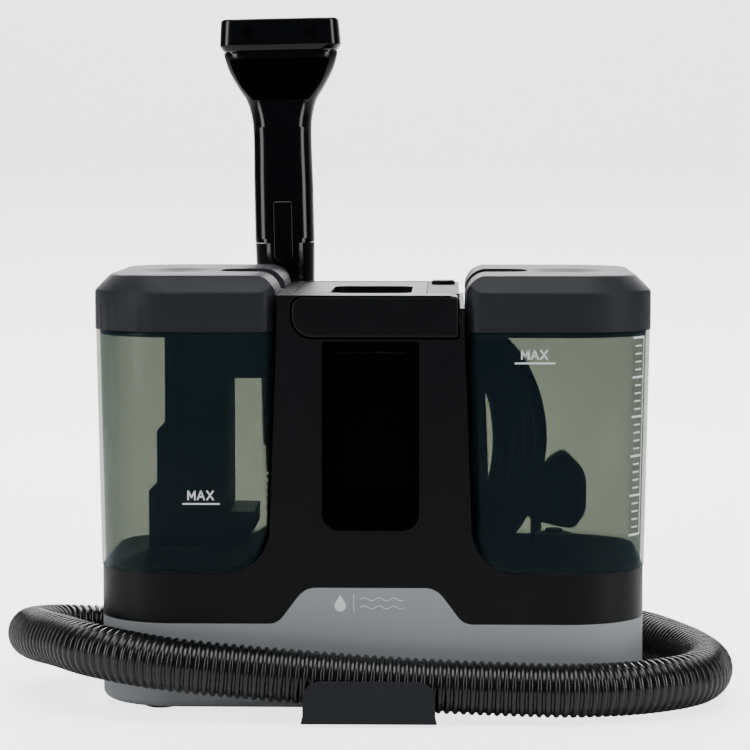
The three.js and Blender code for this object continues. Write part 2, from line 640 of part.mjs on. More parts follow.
add("hose_port", cut(
  join(rodX(19.6, -181, -146, PORT.y, PORT.z, 20), rodX(23, -181, -174.3, PORT.y, PORT.z, 24)),
  rodX(18, -190, -166, PORT.y, PORT.z, 20),
  rodX(14.2, -190, -140, PORT.y, PORT.z, 20),
), "charcoal");

// ---------------------------------------------------------------- hand tool, in its own frame

const grown = (stations, by) => stations.map(([z, x, y]) => [z, x + by, y + by]);
const NECK = [
  [0.3, 20.7, 19.5], [79, 20.2, 19.2], [88.4, 21.2, 18.5], [98.8, 24.3, 18], [107.1, 29.4, 17.5],
  [119.6, 36.1, 17.5], [130, 39.3, 18], [132.4, 39.5, 18],
];
const HEAD_CORE = [[132, 38, 16.2], [153, 38, 16.2]];
const PASSAGE = [[-1, 14, 14], [60, 14, 13.5], [95, 15, 12], [110, 24, 11], [125, 33, 11], [160, 35, 11.5]];
const BAND = [[132.8, 39.8, 18.3], [136.8, 41.9, 19.2], [155, 40.5, 18]];
const NECK_POWER = 2.6;
const BAND_POWER = 4;
const KEY = { half: 6.7, z0: -13, z1: 29 };
const HINGE = { y: 25, z: 62, pin: 2 }; // the trigger's pin
const TRIGGER_HALF = 8;

const keyPocket = () => run(
  roundedRect(-KEY.half - 0.4, KEY.z0 - 0.4, KEY.half + 0.4, KEY.z1 + 0.4, KEY.half), -40, -17, 4,
);
const windowShape = (inset) => {
  const shape = new THREE.Shape();
  shape.moveTo(-35 + inset, 128 - inset);
  shape.lineTo(-34.5 + inset, 124);
  shape.quadraticCurveTo(-30 + inset, 109, -20 + inset, 99 + inset);
  shape.lineTo(20 - inset, 99 + inset);
  shape.quadraticCurveTo(30 - inset, 109, 34.5 - inset, 124);
  shape.lineTo(35 - inset, 128 - inset);
  return shape;
};

// A shape drawn in YZ, run along X.
function across(shape, x0, x1, segments = 4) {
  const options = { depth: x1 - x0, bevelEnabled: false, curveSegments: segments };
  const geometry = new THREE.ExtrudeGeometry(shape, options);
  const basis = new THREE.Matrix4().makeBasis(
    new THREE.Vector3(0, 1, 0), new THREE.Vector3(0, 0, 1), new THREE.Vector3(1, 0, 0),
  );
  return solid(geometry.applyMatrix4(basis).translate(x0, 0, 0));
}

function toolNeck() {
  const ears = [-1, 1].map((side) => box(
    Math.min(side * (TRIGGER_HALF + 0.5), side * 12), Math.max(side * (TRIGGER_HALF + 0.5), side * 12),
    15, HINGE.y + 4, HINGE.z - 5, HINGE.z + 8,
  ));
  return cut(
    join(limb(NECK, NECK_POWER), limb(HEAD_CORE, BAND_POWER), ...ears),
    limb(PASSAGE, 2.4),
    run(windowShape(0), -40, -14),
    keyPocket(),
    rodX(HINGE.pin + 0.1, -20, 20, HINGE.y, HINGE.z, 12),
  );
}

function frontCover() {
  const shell = cut(limb(grown(NECK, 2), NECK_POWER), limb(grown(NECK, 0.4), NECK_POWER));
  return cut(
    shell.intersect(run(roundedRect(-18.6, 3, 18.6, 80.4, [2, 2, 5, 5]), -40, -8)),
    keyPocket(),
    box(-9, 9, -40, -20.9, 53, 54),
    rodY(4, -40, -20.7, 0, 73.3, 16),
  );
}

function headBand() {
  const catches = [-21, 21].map((x) => run(roundedRect(x - 3, 142.4, x + 3, 148.4, 0.6), -30, -15, 2));
  return cut(limb(BAND, BAND_POWER), limb([[128, 38.4, 16.6], [160, 38.4, 16.6]], BAND_POWER), ...catches);
}

function trigger() {
  const shape = new THREE.Shape();
  shape.moveTo(HINGE.y - 3, HINGE.z + 5);
  shape.lineTo(HINGE.y + 4, HINGE.z + 3);
  shape.quadraticCurveTo(31, 40, 29, 20);
  shape.quadraticCurveTo(28, 0, 34, -18);
  shape.lineTo(31, -21);
  shape.quadraticCurveTo(24, 0, 25, 20);
  shape.lineTo(HINGE.y - 3, 45);
  const hole = rodX(HINGE.pin + 0.3, -20, 20, HINGE.y, HINGE.z, 12);
  return cut(across(shape, -TRIGGER_HALF, TRIGGER_HALF), hole);
}

function lowerGrip() {
  return cut(
    join(limb([[-142, 18.9, 18.9], [-60, 19.2, 19.2], [-0.3, 20.7, 19.5]]), disc(23.5, -67, -62, 0, 0, 24)),
    disc(17.6, -150, -108, 0, 0, 20),
    disc(14, -120, 10, 0, 0, 20),
    keyPocket(),
  );
}

add("tool_neck", toolNeck(), "gloss", tool);
add("tool_front_cover", frontCover(), "gloss", tool);
add("tool_window", run(windowShape(0.4), -15.6, -14.1), "gloss", tool);
add("tool_head_band", headBand(), "gloss", tool);
add("tool_brush", join(box(-34, 34, 19.6, 22.5, 138, 153), box(-32, 32, 22, 30, 140, 151)), "bristle", tool);
const keyOutline = roundedRect(-KEY.half, KEY.z0, KEY.half, KEY.z1, KEY.half - 0.1);
add("release_key", run(keyOutline, -23.2, -19.6), "black", tool);
add("trigger", trigger(), "charcoal", tool);
add("trigger_pin", rodX(HINGE.pin, -12.5, 12.5, HINGE.y, HINGE.z, 12), "steel", tool);
add("tool_lower_grip", lowerGrip(), "black", tool);
add("spray_tip", join(rodY(4, 18.4, 24, 0, 122, 12), rodY(2, 23, 28, 0, 122, 12)), "brass", tool);
const tubePath = curveThrough([[14.5, 19.6, -60], [14.6, 19.8, -30], [14.6, 19.8, 15]]);
add("solution_tube", sweep(tubePath, 6, 2.2, 0, 4), "rubber", tool);

// The holder on the back that the parked tool drops into.
const HOLDER = { x: -64.1, z0: 203, z1: 222.8 };
add("tool_holder", cut(
  join(
    disc(24, HOLDER.z0, HOLDER.z1, HOLDER.x, TOOL_Y, 20),
    box(-56.5, -20, HALF_DEPTH + 0.05, 103.5, 194, HOLDER.z1),
    box(-56.5, -42, 103, 116, HOLDER.z0, HOLDER.z1),
  ),
  disc(20.6, 190, 230, HOLDER.x, TOOL_Y, 20),
), "black");

// ---------------------------------------------------------------- power cord on the back

const CORD = 3.8; // the cord's radius
const COIL = { x: 55, z: 153, halfX: 58.6, halfZ: 83, y: 109, turns: 5.865, start: -0.35 };
const STEP = { x: 7.4, y: 5.8, z: 5.4, firstY: 7.9 }; // how far each turn lies inside and behind the last
const COIL_POINTS = 90;

// The first turn keeps its size, and each later one lies inside and behind the one before.
function coilPoints() {
  return Array.from({ length: COIL_POINTS }, (_, i) => {
    const turns = (i / (COIL_POINTS - 1)) * COIL.turns;
    const angle = COIL.start + turns * 2 * Math.PI;
    const inward = Math.max(0, turns - 1);
    return [
      COIL.x + (COIL.halfX - STEP.x * inward) * Math.cos(angle),
      COIL.y + STEP.firstY * Math.min(turns, 1) + STEP.y * inward,
      COIL.z + (COIL.halfZ - STEP.z * inward) * Math.sin(angle),
    ];
  });
}
const CORD_PATH = curveThrough([
  [CORD_EXIT.x, 90, CORD_EXIT.z], [CORD_EXIT.x, 98, CORD_EXIT.z], [CORD_EXIT.x, 107, CORD_EXIT.z],
  [109.8, 111, 40], [109.5, 110, 60], [109.8, 109, 95],
  ...coilPoints(),
  [68.5, 149.6, 104.5], [75, 149.5, 108], [82, 144, 109], [87, 138.8, 108], [91, 136, 107.2], [94, 135.5, 107],
  [98, 135.5, 107],
]);
add("power_cord", sweep(CORD_PATH, 290, CORD, 0, 2), "rubber");
add("cord_grommet", cut(
  join(
    rodY(CORD_EXIT.hole - 0.4, 94, 101.6, CORD_EXIT.x, CORD_EXIT.z, 12),
    rodY(9, HALF_DEPTH + 0.1, 101.6, CORD_EXIT.x, CORD_EXIT.z, 16),
  ),
  rodY(CORD + 0.3, 80, 110, CORD_EXIT.x, CORD_EXIT.z, 12),
), "rubber");

// A post the cord wraps round, ending in a plate that reaches up or down to hold the turns on.
const HOOK = { offset: 38, radius: 9, back: 158, plate: 4, reach: 40 };
function cordHook(side) {
  const z = COIL.z + side * HOOK.offset;
  const tip = z + side * HOOK.reach;
  const [low, high] = [Math.min(z, tip), Math.max(z, tip)];
  return join(
    rodY(HOOK.radius, HALF_DEPTH + 0.1, HOOK.back - 1, COIL.x, z, 16),
    box(COIL.x - HOOK.radius, COIL.x + HOOK.radius, HOOK.back - HOOK.plate, HOOK.back, low, high),
  );
}
add("cord_hook_upper", cordHook(1), "black");
add("cord_hook_lower", cordHook(-1), "black");

// The plug hangs askew beside the coil, its outline drawn in XZ.
const PLUG_OUTLINE = [
  [117.5, 137.5], [129.5, 146], [146, 129], [146, 101], [137, 88], [107, 95], [94.5, 108],
];
const PLUG = { y0: 128, y1: 143, pins: 158, entryZ: 107, soft: 0.3 };
function plugBody() {
  const shape = new THREE.Shape();
  const corners = PLUG_OUTLINE.map(([x, z]) => new THREE.Vector2(x, z));
  corners.forEach((corner, i) => {
    const [before, after] = [corners.at(i - 1), corners[(i + 1) % corners.length]];
    const [from, to] = [before, after].map((next) => corner.clone().lerp(next, PLUG.soft));
    if (i === 0) shape.moveTo(from.x, from.y);
    else shape.lineTo(from.x, from.y);
    shape.quadraticCurveTo(corner.x, corner.y, to.x, to.y);
  });
  const middle = (PLUG.y0 + PLUG.y1) / 2;
  return cut(run(shape, PLUG.y0, PLUG.y1), rodX(CORD + 0.7, 80, 100, middle, PLUG.entryZ, 12));
}
add("plug_body", plugBody(), "rubber");
function pin(x, z, halfX, halfZ) {
  return box(x - halfX, x + halfX, PLUG.y1 + 0.05, PLUG.pins, z - halfZ, z + halfZ);
}
add("plug_pin_earth", pin(127, 131, 2, 4), "brass");
add("plug_pin_left", pin(114, 107, 3.2, 2), "brass");
add("plug_pin_right", pin(136, 110, 3.2, 2), "brass");

export default machine;
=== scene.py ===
import json
from contextlib import contextmanager
from itertools import accumulate
from math import cos, pi, radians, sin

import bmesh
import bpy
from mathutils import Matrix, Vector

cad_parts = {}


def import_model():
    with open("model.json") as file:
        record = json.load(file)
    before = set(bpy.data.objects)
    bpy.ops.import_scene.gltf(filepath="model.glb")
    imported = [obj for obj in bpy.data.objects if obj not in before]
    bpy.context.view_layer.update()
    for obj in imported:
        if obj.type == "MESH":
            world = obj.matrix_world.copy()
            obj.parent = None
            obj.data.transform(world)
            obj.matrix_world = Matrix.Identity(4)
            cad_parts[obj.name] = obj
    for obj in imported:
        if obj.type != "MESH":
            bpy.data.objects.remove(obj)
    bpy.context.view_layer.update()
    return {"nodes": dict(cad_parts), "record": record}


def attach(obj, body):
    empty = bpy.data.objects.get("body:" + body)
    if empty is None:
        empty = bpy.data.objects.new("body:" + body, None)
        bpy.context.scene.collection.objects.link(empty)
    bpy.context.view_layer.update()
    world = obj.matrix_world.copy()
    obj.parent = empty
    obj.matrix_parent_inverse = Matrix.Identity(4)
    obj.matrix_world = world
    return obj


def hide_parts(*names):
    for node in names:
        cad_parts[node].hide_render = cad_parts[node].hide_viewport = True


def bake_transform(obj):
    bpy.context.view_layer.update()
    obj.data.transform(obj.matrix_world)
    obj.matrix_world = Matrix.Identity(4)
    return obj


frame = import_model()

MM = 0.001
SAME_POINT = 2e-6  # metres; mesh points closer than this are merged

# Main dimensions in millimetres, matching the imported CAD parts.
HALF_WIDTH, HALF_DEPTH, CORNER, WALL, GAP = 174, 100, 50, 3, 0.4
FOOT_HEIGHT, BASE_TOP, PANEL_TOP, SHELF, COLUMN_TOP = 4, 57.9, 80.9, 89.7, 265
PANEL_HALF_TOP, PANEL_HALF_BOTTOM = 41.5, 58.5
TANK_BOTTOM, TANK_TOP, TANK_WALL = 90.1, 241.3, 2.5
TANK_INNER_TOP, TANK_INNER_BOTTOM, TANK_OUTER, TANK_CORNER = 59.5, 64, 177.5, 29
TANK_OUTER_BOTTOM, TANK_EDGE, TANK_REAR_EDGE = 174.5, 13, 18
TANK_TAPER = (TANK_OUTER - TANK_OUTER_BOTTOM) / (TANK_TOP - TANK_BOTTOM) / TANK_OUTER
LID_TOP, LID_CHAMFER, LID_CORNER = 277, 10.5, 14
HANDLE_LEFT, HANDLE_RIGHT, HANDLE_BOTTOM, HANDLE_TOP, HANDLE_BACK = -50, 55.5, 237.9, 264.6, -70
DECK, DECK_TOP = 234.5, 246
FAR_SIDE, FAR_DEPTH, FAR_UP, FAR = 250, 120, 300, 400  # ends of cutting tools, past what they cut
FRONT, TOUCH, PRINT_PROUD = -HALF_DEPTH, 0.05, 0.2  # prints stand proud of a wall and reach a touch into it
OUTLET, INLET = (120, 40), (125, 35)  # XY of the holes in the clean tank and, mirrored, in the dirty one
REST_RAIL = 25  # how far the hose rest's two rails and their slots lie from the middle
PORT, CORD_EXIT = (45, 30), (110, 32)  # YZ of the hose port on the side, XZ of the cord's exit on the back


# ---- outlines, lists of 2-D points in millimetres

def arc(cx, cy, radius, start, end, steps=16):
    """Points on an arc; the angles are in degrees."""
    turn = [radians(start + (end - start) * i / steps) for i in range(steps + 1)]
    return [(cx + radius * cos(a), cy + radius * sin(a)) for a in turn]


def rounded(x0, y0, x1, y1, radius, steps=16):
    """A rectangle with one radius, or one each for lower left, lower right, upper right and upper left."""
    ll, lr, ur, ul = radius if isinstance(radius, (tuple, list)) else (radius,) * 4
    corners = (
        (x0 + ll, y0 + ll, ll, 180), (x1 - lr, y0 + lr, lr, 270),
        (x1 - ur, y1 - ur, ur, 0), (x0 + ul, y1 - ul, ul, 90),
    )
    points = []
    for cx, cy, r, start in corners:
        points += arc(cx, cy, r, start, start + 90, steps) if r > 0 else [(cx, cy)]
    return points


def plan(inset, half_width=HALF_WIDTH, steps=20):
    """The machine's plan outline, inset by a margin."""
    w, d = half_width - inset, HALF_DEPTH - inset
    return rounded(-w, -d, w, d, CORNER - inset, steps)


def circle(cx, cy, radius, steps=48):
    return arc(cx, cy, radius, 0, 360, steps)[:-1]


def bend(start, middle, end, steps):
    """A quadratic curve that leaves start towards middle and reaches end from it."""
    points = []
    for t in (i / steps for i in range(steps + 1)):
        points.append(tuple((1 - t) ** 2 * a + 2 * t * (1 - t) * b + t * t * c
                            for a, b, c in zip(start, middle, end)))
    return points


def mirrored(right):
    """An outline in XZ from its right half, given from bottom to top."""
    return right + [(-x, z) for x, z in reversed(right)]


def ring(cx, cy, z, half_x, half_y=None, sides=48):
    """A level ring of 3-D points: a circle, or an ellipse when given two halves."""
    half_y = half_x if half_y is None else half_y
    turn = [2 * pi * j / sides for j in range(sides)]
    return [(cx + half_x * cos(a), cy + half_y * sin(a), z) for a in turn]


# ---- meshes

def linked(name, data):
    """A new object in the scene."""
    made = bpy.data.objects.new(name, data)
    bpy.context.scene.collection.objects.link(made)
    return made


@contextmanager
def editing(mesh):
    """A mesh as a bmesh, written back at the end."""
    bm = bmesh.new()
    bm.from_mesh(mesh)
    yield bm
    bm.to_mesh(mesh)
    bm.free()


def build(name, verts, faces, place=None):
    """A mesh object from points in millimetres, with its faces turned outwards."""
    mesh = bpy.data.meshes.new(name)
    mesh.from_pydata([Vector(v) * MM for v in verts], [], faces)
    with editing(mesh) as bm:
        bmesh.ops.remove_doubles(bm, verts=bm.verts, dist=SAME_POINT)
        bmesh.ops.dissolve_degenerate(bm, edges=bm.edges, dist=SAME_POINT / 2)
        bmesh.ops.recalc_face_normals(bm, faces=bm.faces)
    if place is not None:
        mesh.transform(place)
    return linked(name, mesh)


def loft(name, rings, place=None):
    """A skin over rings of equal length, capped at both ends."""
    count, rows = len(rings[0]), len(rings)
    verts = [v for row in rings for v in row]
    faces = []
    for i in range(rows - 1):
        a, b = i * count, (i + 1) * count
        faces += [(a + j, a + (j + 1) % count, b + (j + 1) % count, b + j) for j in range(count)]
    faces += [tuple(reversed(range(count))), tuple(range((rows - 1) * count, rows * count))]
    return build(name, verts, faces, place)


def prism(name, outline, low, high, axis="Z", place=None):
    """An outline run along an axis: XY outlines along Z, XZ outlines along Y, YZ outlines along X."""
    order = {"Z": (0, 1, 2), "Y": (0, 2, 1), "X": (2, 0, 1)}[axis]
    ends = [[(u, v, w) for u, v in outline] for w in (low, high)]
    return loft(name, [[tuple(point[k] for k in order) for point in end] for end in ends], place)


def turned(name, profile, place=None, sides=64, x=0, y=0):
    """A body of revolution from (radius, height) points about an upright line, and then placed."""
    return loft(name, [ring(x, y, height, radius, sides=sides) for radius, height in profile], place)


def along_x(x, y, z):
    """Lays a turned body down along +X, from a point in millimetres."""
    return Matrix.Translation(Vector((x, y, z)) * MM) @ Matrix.Rotation(radians(90), 4, "Y")


def along_y(x, y, z):
    """Lays a turned body down along +Y, from a point in millimetres."""
    return Matrix.Translation(Vector((x, y, z)) * MM) @ Matrix.Rotation(radians(-90), 4, "X")


def box(name, x0, x1, y0, y1, z0, z1):
    return prism(name, [(x0, y0), (x1, y0), (x1, y1), (x0, y1)], z0, z1)


def apply_modifiers(piece):
    """Bakes a piece's modifiers into its mesh."""
    graph = bpy.context.evaluated_depsgraph_get()
    made = bpy.data.meshes.new_from_object(piece.evaluated_get(graph))
    old = piece.data
    piece.modifiers.clear()
    piece.data = made
    made.name = piece.name
    bpy.data.meshes.remove(old)
    return piece


def boolean(piece, operation, *tools):
    """Cuts, joins or intersects a piece with tools, which are used up."""
    for tool in tools:
        change = piece.modifiers.new("bool", "BOOLEAN")
        change.operation = operation
        change.solver = "EXACT"
        change.object = tool
        apply_modifiers(piece)
        bpy.data.objects.remove(tool)
    with editing(piece.data) as bm:
        bmesh.ops.remove_doubles(bm, verts=bm.verts, dist=SAME_POINT)
        bmesh.ops.dissolve_degenerate(bm, edges=bm.edges, dist=SAME_POINT)
    return piece


def cut(piece, *tools):
    return boolean(piece, "DIFFERENCE", *tools)


def join(piece, *tools):
    return boolean(piece, "UNION", *tools)


def common(piece, *tools):
    return boolean(piece, "INTERSECT", *tools)


def soften(piece, radius=0.8, segments=3, angle=32):
    """Rounds the sharp edges of a piece by a radius in millimetres and shades it smooth."""
    bevel = piece.modifiers.new("edge rounding", "BEVEL")
    bevel.width, bevel.segments, bevel.angle_limit = radius * MM, segments, radians(angle)
    bevel.miter_outer = "MITER_ARC"
    apply_modifiers(piece)
    return smooth(piece)


def smooth(piece, angle=40):
    """Smooth shading with hard edges kept above an angle, and normals weighted by face area."""
    mesh = piece.data
    mesh.polygons.foreach_set("use_smooth", [True] * len(mesh.polygons))
    with editing(mesh) as bm:
        for edge in bm.edges:
            edge.smooth = edge.is_manifold and edge.calc_face_angle(0) < radians(angle)
    piece.modifiers.new("weighted normals", "WEIGHTED_NORMAL").keep_sharp = True
    return apply_modifiers(piece)


def merged(name, *pieces):
    """One object from several that keep their own closed shells."""
    mesh = bpy.data.meshes.new(name)
    with editing(mesh) as bm:
        for piece in pieces:
            bm.from_mesh(piece.data)
            bpy.data.objects.remove(piece)
    return linked(name, mesh)


def body_of_node(node):
    """The name of the body that holds a CAD node."""
    return next(b for b, nodes in frame["record"]["behaviour"]["bodies"].items() if node in nodes)


def finish(piece, name, look, *nodes, body=None, rides=True):
    """Names a piece, gives it its material and slot, and has it ride and stand in for its CAD nodes."""
    piece.name = name
    piece.data.materials.clear()
    piece.data.materials.append(LOOKS[look][0])
    if rides:
        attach(piece, body or body_of_node(nodes[0]))
    if nodes:
        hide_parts(*nodes)
    return piece


# ---- materials

class Nodes:
    """A short way to write the node tree of a material or of the world."""

    def __init__(self, owner, output="OutputMaterial"):
        owner.use_nodes = True
        self.owner, self.tree = owner, owner.node_tree
        self.tree.nodes.clear()
        self.output = self.add(output)

    def add(self, kind, settings=None, **inputs):
        """A node with its inputs set by name, or by number as _0, _1 and so on."""
        node = self.tree.nodes.new("ShaderNode" + kind)
        for key, value in (settings or {}).items():
            setattr(node, key, value)
        for key, value in inputs.items():
            socket = node.inputs[int(key[1:]) if key[0] == "_" else key.replace("_", " ")]
            self.set(socket, value)
        return node

    def set(self, socket, value):
        if isinstance(value, bpy.types.NodeSocket):
            self.tree.links.new(value, socket)
        else:
            socket.default_value = value

    def place(self):
        return self.add("TexCoord").outputs["Object"]

    def noise(self, scale, detail, roughness, vector=None):
        vector = vector or self.place()
        return self.add("TexNoise", Scale=scale, Detail=detail, Roughness=roughness, Vector=vector).outputs[0]

    def span(self, value, low, high):
        """A noise value's usual range mapped onto low..high."""
        node = self.add("MapRange", Value=value, From_Min=0.3, From_Max=0.7, To_Min=low, To_Max=high)
        return node.outputs[0]

    def calc(self, operation, *values):
        node = self.add("Math", {"operation": operation}, **{f"_{i}": v for i, v in enumerate(values)})
        return node.outputs[0]

    def blend(self, factor, first, second):
        node = self.add("Mix", {"data_type": "RGBA"}, _0=factor, _6=first, _7=second)
        return node.outputs[2]

    def bump(self, height, distance, strength, normal=None):
        """Relief of a distance in millimetres, on top of an earlier bump's normal."""
        node = self.add("Bump", Height=height, Distance=distance * MM, Strength=strength)
        if normal is not None:
            self.set(node.inputs["Normal"], normal)
        return node.outputs[0]

    def close(self, shader):
        """Gives the tree its surface and returns what it belongs to."""
        self.set(self.output.inputs["Surface"], shader.outputs[0])
        return self.owner


def tone(colour, factor):
    """A colour lightened or darkened by a factor."""
    return tuple(min(1.0, c * factor) for c in colour[:3]) + (1.0,)


def plastic(name, colour, rough, spread, grain, grain_scale=2600, coat=0.0, specular=0.5, wear=0.25):
    """Moulded plastic or rubber: fine grain, uneven sheen, handling marks and a drift of colour."""
    n = Nodes(bpy.data.materials.new(name))
    cloud = n.noise(9.0, 4.0, 0.55)
    fine = n.noise(grain_scale, 2.0, 0.6)
    smear = n.noise(55.0, 6.0, 0.62)
    drift = wear * 0.35
    base = n.blend(n.span(cloud, 0.0, 1.0), tone(colour, 1.0 - drift), tone(colour, 1.0 + drift))
    base = n.blend(n.span(fine, 0.0, 0.35), base, tone(colour, 1.35))
    sheen = n.calc("ADD", n.span(smear, rough - spread, rough + spread), n.span(fine, -0.02, 0.02))
    normal = n.bump(n.noise(28.0, 2.0, 0.4), 0.05, 0.35)
    if grain > 0:
        normal = n.bump(fine, grain, 0.8, normal)
    return n.close(n.add("BsdfPrincipled", Base_Color=base, Roughness=sheen, Normal=normal,
                         Specular_IOR_Level=specular, Coat_Weight=coat, Coat_Roughness=0.06))


def metal(name, colour, rough):
    """Turned or drawn metal with fine directional streaks."""
    n = Nodes(bpy.data.materials.new(name))
    stretched = n.add("Mapping", Vector=n.place(), Scale=(3, 3, 260)).outputs[0]
    lines = n.noise(9.0, 5.0, 0.6, stretched)
    base = n.blend(n.span(lines, 0.0, 1.0), tone(colour, 0.8), tone(colour, 1.12))
    sheen = n.span(lines, rough - 0.08, rough + 0.1)
    relief = n.bump(lines, 0.02, 0.5)
    return n.close(n.add("BsdfPrincipled", Base_Color=base, Metallic=1.0, Roughness=sheen, Normal=relief))


def smoked_plastic(name, tint, haze):
    """Clear tinted plastic: light passes with a tint that deepens at grazing angles, under a glossy skin."""
    n = Nodes(bpy.data.materials.new(name))
    facing = n.add("LayerWeight", Blend=0.5).outputs["Facing"]
    cloud = n.noise(14.0, 3.0, 0.5)
    passed = n.blend(n.calc("POWER", facing, 3.0), tone(tint, 1.0), tone(tint, 0.9))
    passed = n.blend(n.span(cloud, 0.0, 0.12), passed, tone(tint, 0.86))
    clear = n.add("BsdfTransparent", Color=passed)
    sheen = n.span(n.noise(80.0, 4.0, 0.6), 0.05, 0.13)
    ripple = n.bump(n.noise(16.0, 2.0, 0.4), 0.12, 0.4)
    skin = n.add("BsdfPrincipled", Base_Color=haze, Roughness=sheen, Normal=ripple)
    fresnel = n.add("Fresnel", IOR=1.42).outputs[0]
    share = n.calc("MINIMUM", n.calc("MULTIPLY_ADD", fresnel, 0.7, 0.03), 0.22)
    inside = n.add("NewGeometry").outputs["Backfacing"]  # only the outer side of a wall has the skin
    share = n.calc("MAXIMUM", n.calc("MULTIPLY_ADD", inside, -1.0, share), 0.0)
    return n.close(n.add("MixShader", _0=share, _1=clear.outputs[0], _2=skin.outputs[0]))


SMOKE_TINT, SMOKE_HAZE = (0.466, 0.482, 0.446), (0.10, 0.19, 0.24, 1)

# Each look's material, and the name of a slot in the record, which the script does not read.
# Plastics give colour, roughness and its spread, and the grain's depth in millimetres.
LOOKS = {
    "black": (plastic("black satin plastic", (0.0022, 0.0025, 0.0031), 0.38, 0.05, 0.012, specular=0.14),
              "black"),
    "gloss": (plastic("piano black plastic", (0.0012, 0.0014, 0.0020), 0.13, 0.03, 0.0, coat=0.1,
                      specular=0.22), "gloss"),
    # The deep look is painted shade: a near-black, almost unreflective colour that stands in for the shade
    # inside the hand recess and the tool's window.
    "deep": (plastic("black plastic with painted shade", (0.0004, 0.0004, 0.0004), 0.25, 0.04, 0.0, specular=0.03),
             "gloss"),
    "charcoal": (plastic("charcoal plastic", (0.0145, 0.0155, 0.0190), 0.48, 0.05, 0.014, specular=0.12),
                 "charcoal"),
    "grey": (plastic("grey plastic", (0.225, 0.24, 0.25), 0.45, 0.05, 0.012, specular=0.3, wear=0.12),
             "grey"),
    "smoked": (smoked_plastic("smoked clear plastic", SMOKE_TINT, SMOKE_HAZE), "smoked"),
    "ducting": (plastic("blue black ducting", (0.010, 0.022, 0.033), 0.35, 0.05, 0.01), "ducting"),
    "tower": (plastic("tower plastic", (0.012, 0.026, 0.036), 0.4, 0.05, 0.01), "charcoal"),
    "rubber": (plastic("black rubber", (0.010, 0.010, 0.011), 0.62, 0.06, 0.02, 1500), "rubber"),
    "cord": (plastic("cord sheath", (0.008, 0.014, 0.019), 0.4, 0.05, 0.008, 1500), "rubber"),
    "hose": (plastic("hose plastic", (0.0016, 0.0017, 0.0020), 0.27, 0.05, 0.006, specular=0.42), "hose"),
    "bristle": (plastic("nylon bristle", (0.02, 0.022, 0.026), 0.5, 0.08, 0.01), "bristle"),
    "steel": (metal("brushed steel", (0.56, 0.57, 0.58), 0.3), "steel"),
    "brass": (metal("satin brass", (0.72, 0.50, 0.20), 0.32), "brass"),
    "board": (plastic("solder mask", (0.012, 0.11, 0.045), 0.35, 0.08, 0.01), "board"),
    "print": (plastic("white print", (0.62, 0.64, 0.64), 0.5, 0.04, 0.004, wear=0.1), "grey"),
}


# ---- lower housing

def panel_outline(grow):
    """The raised trapezoid on the front, in XZ, with its four corners rounded."""
    top, bottom, high = PANEL_HALF_TOP + grow, PANEL_HALF_BOTTOM + grow, PANEL_TOP + grow
    lean = (bottom - top) / (high - BASE_TOP)
    soft, fillet, below = 7, 5, 10
    toe = bottom + fillet * 1.2
    foot = bend((toe, BASE_TOP), (bottom, BASE_TOP), (bottom - fillet * lean, BASE_TOP + fillet), 8)
    head = bend((top + soft * lean, high - soft), (top, high), (top - soft, high), 8)
    return mirrored([(toe, BASE_TOP - below)] + foot + head)


def shell_rings(low, high, soft_low):
    """Rings of the plan outline from low to high, tucked in round the lower edge."""
    rings, steps = [], 6
    for i in range(steps + 1):
        a = radians(90 * i / steps)
        inset, z = soft_low * (1 - sin(a)), low + soft_low * (1 - cos(a))
        rings.append([(x, y, z) for x, y in plan(inset)])
    rings.append([(x, y, high) for x, y in plan(0)])
    return rings


def base_tray():
    tray = loft("tray", shell_rings(FOOT_HEIGHT, BASE_TOP, 5))
    join(tray, prism("panel", panel_outline(0), -HALF_DEPTH, -HALF_DEPTH + WALL, "Y"))
    cut(
        tray,
        prism("hollow", plan(WALL), FOOT_HEIGHT + WALL, BASE_TOP + 1),
        prism("port", circle(*PORT, 20), -HALF_WIDTH - 5, -HALF_WIDTH + 10, "X"),
        prism("cord hole", circle(*CORD_EXIT, 7.2, 32), HALF_DEPTH - 6, HALF_DEPTH + 5, "Y"),
        *(box("slot", x - 3.5, x + 3.5, -94, -38, 0, 10) for x in (-REST_RAIL, REST_RAIL)),
    )
    return soften(tray, 0.7)


finish(base_tray(), "base_shell", "grey", "base_tray")


# ---- black upper housing

RECESS_HALF, RECESS_BOTTOM, RECESS_TOP, RECESS_BACK, RECESS_CORNER = 30.5, 117, 236.2, -31, 11
WELL, WELL_CORNER = (-27, -62, 25, 34), 10  # x0, y0, x1 and y1
COVER_BACK, COVER_WALL, SEAT_GAP = 97, 2.5, 0.5
TANK_PLAY = 0.7  # clearance between a tank and the housing
SCREW_WELLS = ((-48, 110), (48, 110), (-48, 240), (40, 240))
VENT_LEFT, VENT_RIGHT, VENT_HEIGHT, VENT_LEVELS = -26, 12, 3.4, range(128, 169, 8)


def tank_outline(inset, bottom, top):
    """A tank's front outline in XZ: a leaning inner side, a round lower corner, and far to the outside."""
    radius, inner = TANK_CORNER - inset, TANK_INNER_BOTTOM + inset
    side = [(TANK_INNER_TOP + inset, top), (inner, bottom + radius)]
    corner = arc(inner + radius, bottom + radius, radius, 180, 270, 24)
    return side + corner + [(FAR_SIDE, bottom), (FAR_SIDE, top)]


def inner_plan(inset):
    """A plan outline just outside a tank's walls, with its two upright inner corners rounded."""
    margin = inset - TOUCH
    radii = (TANK_EDGE - inset, 0, 0, TANK_REAR_EDGE - inset)
    return rounded(TANK_INNER_TOP + margin, FRONT + margin, FAR_SIDE, HALF_DEPTH - margin, radii, 14)


def taper(piece):
    """Draws a piece in towards the tanks' foot, as their outer walls are."""
    for vertex in piece.data.vertices:
        vertex.co.x *= 1 - (TANK_TOP * MM - vertex.co.z) / MM * TANK_TAPER


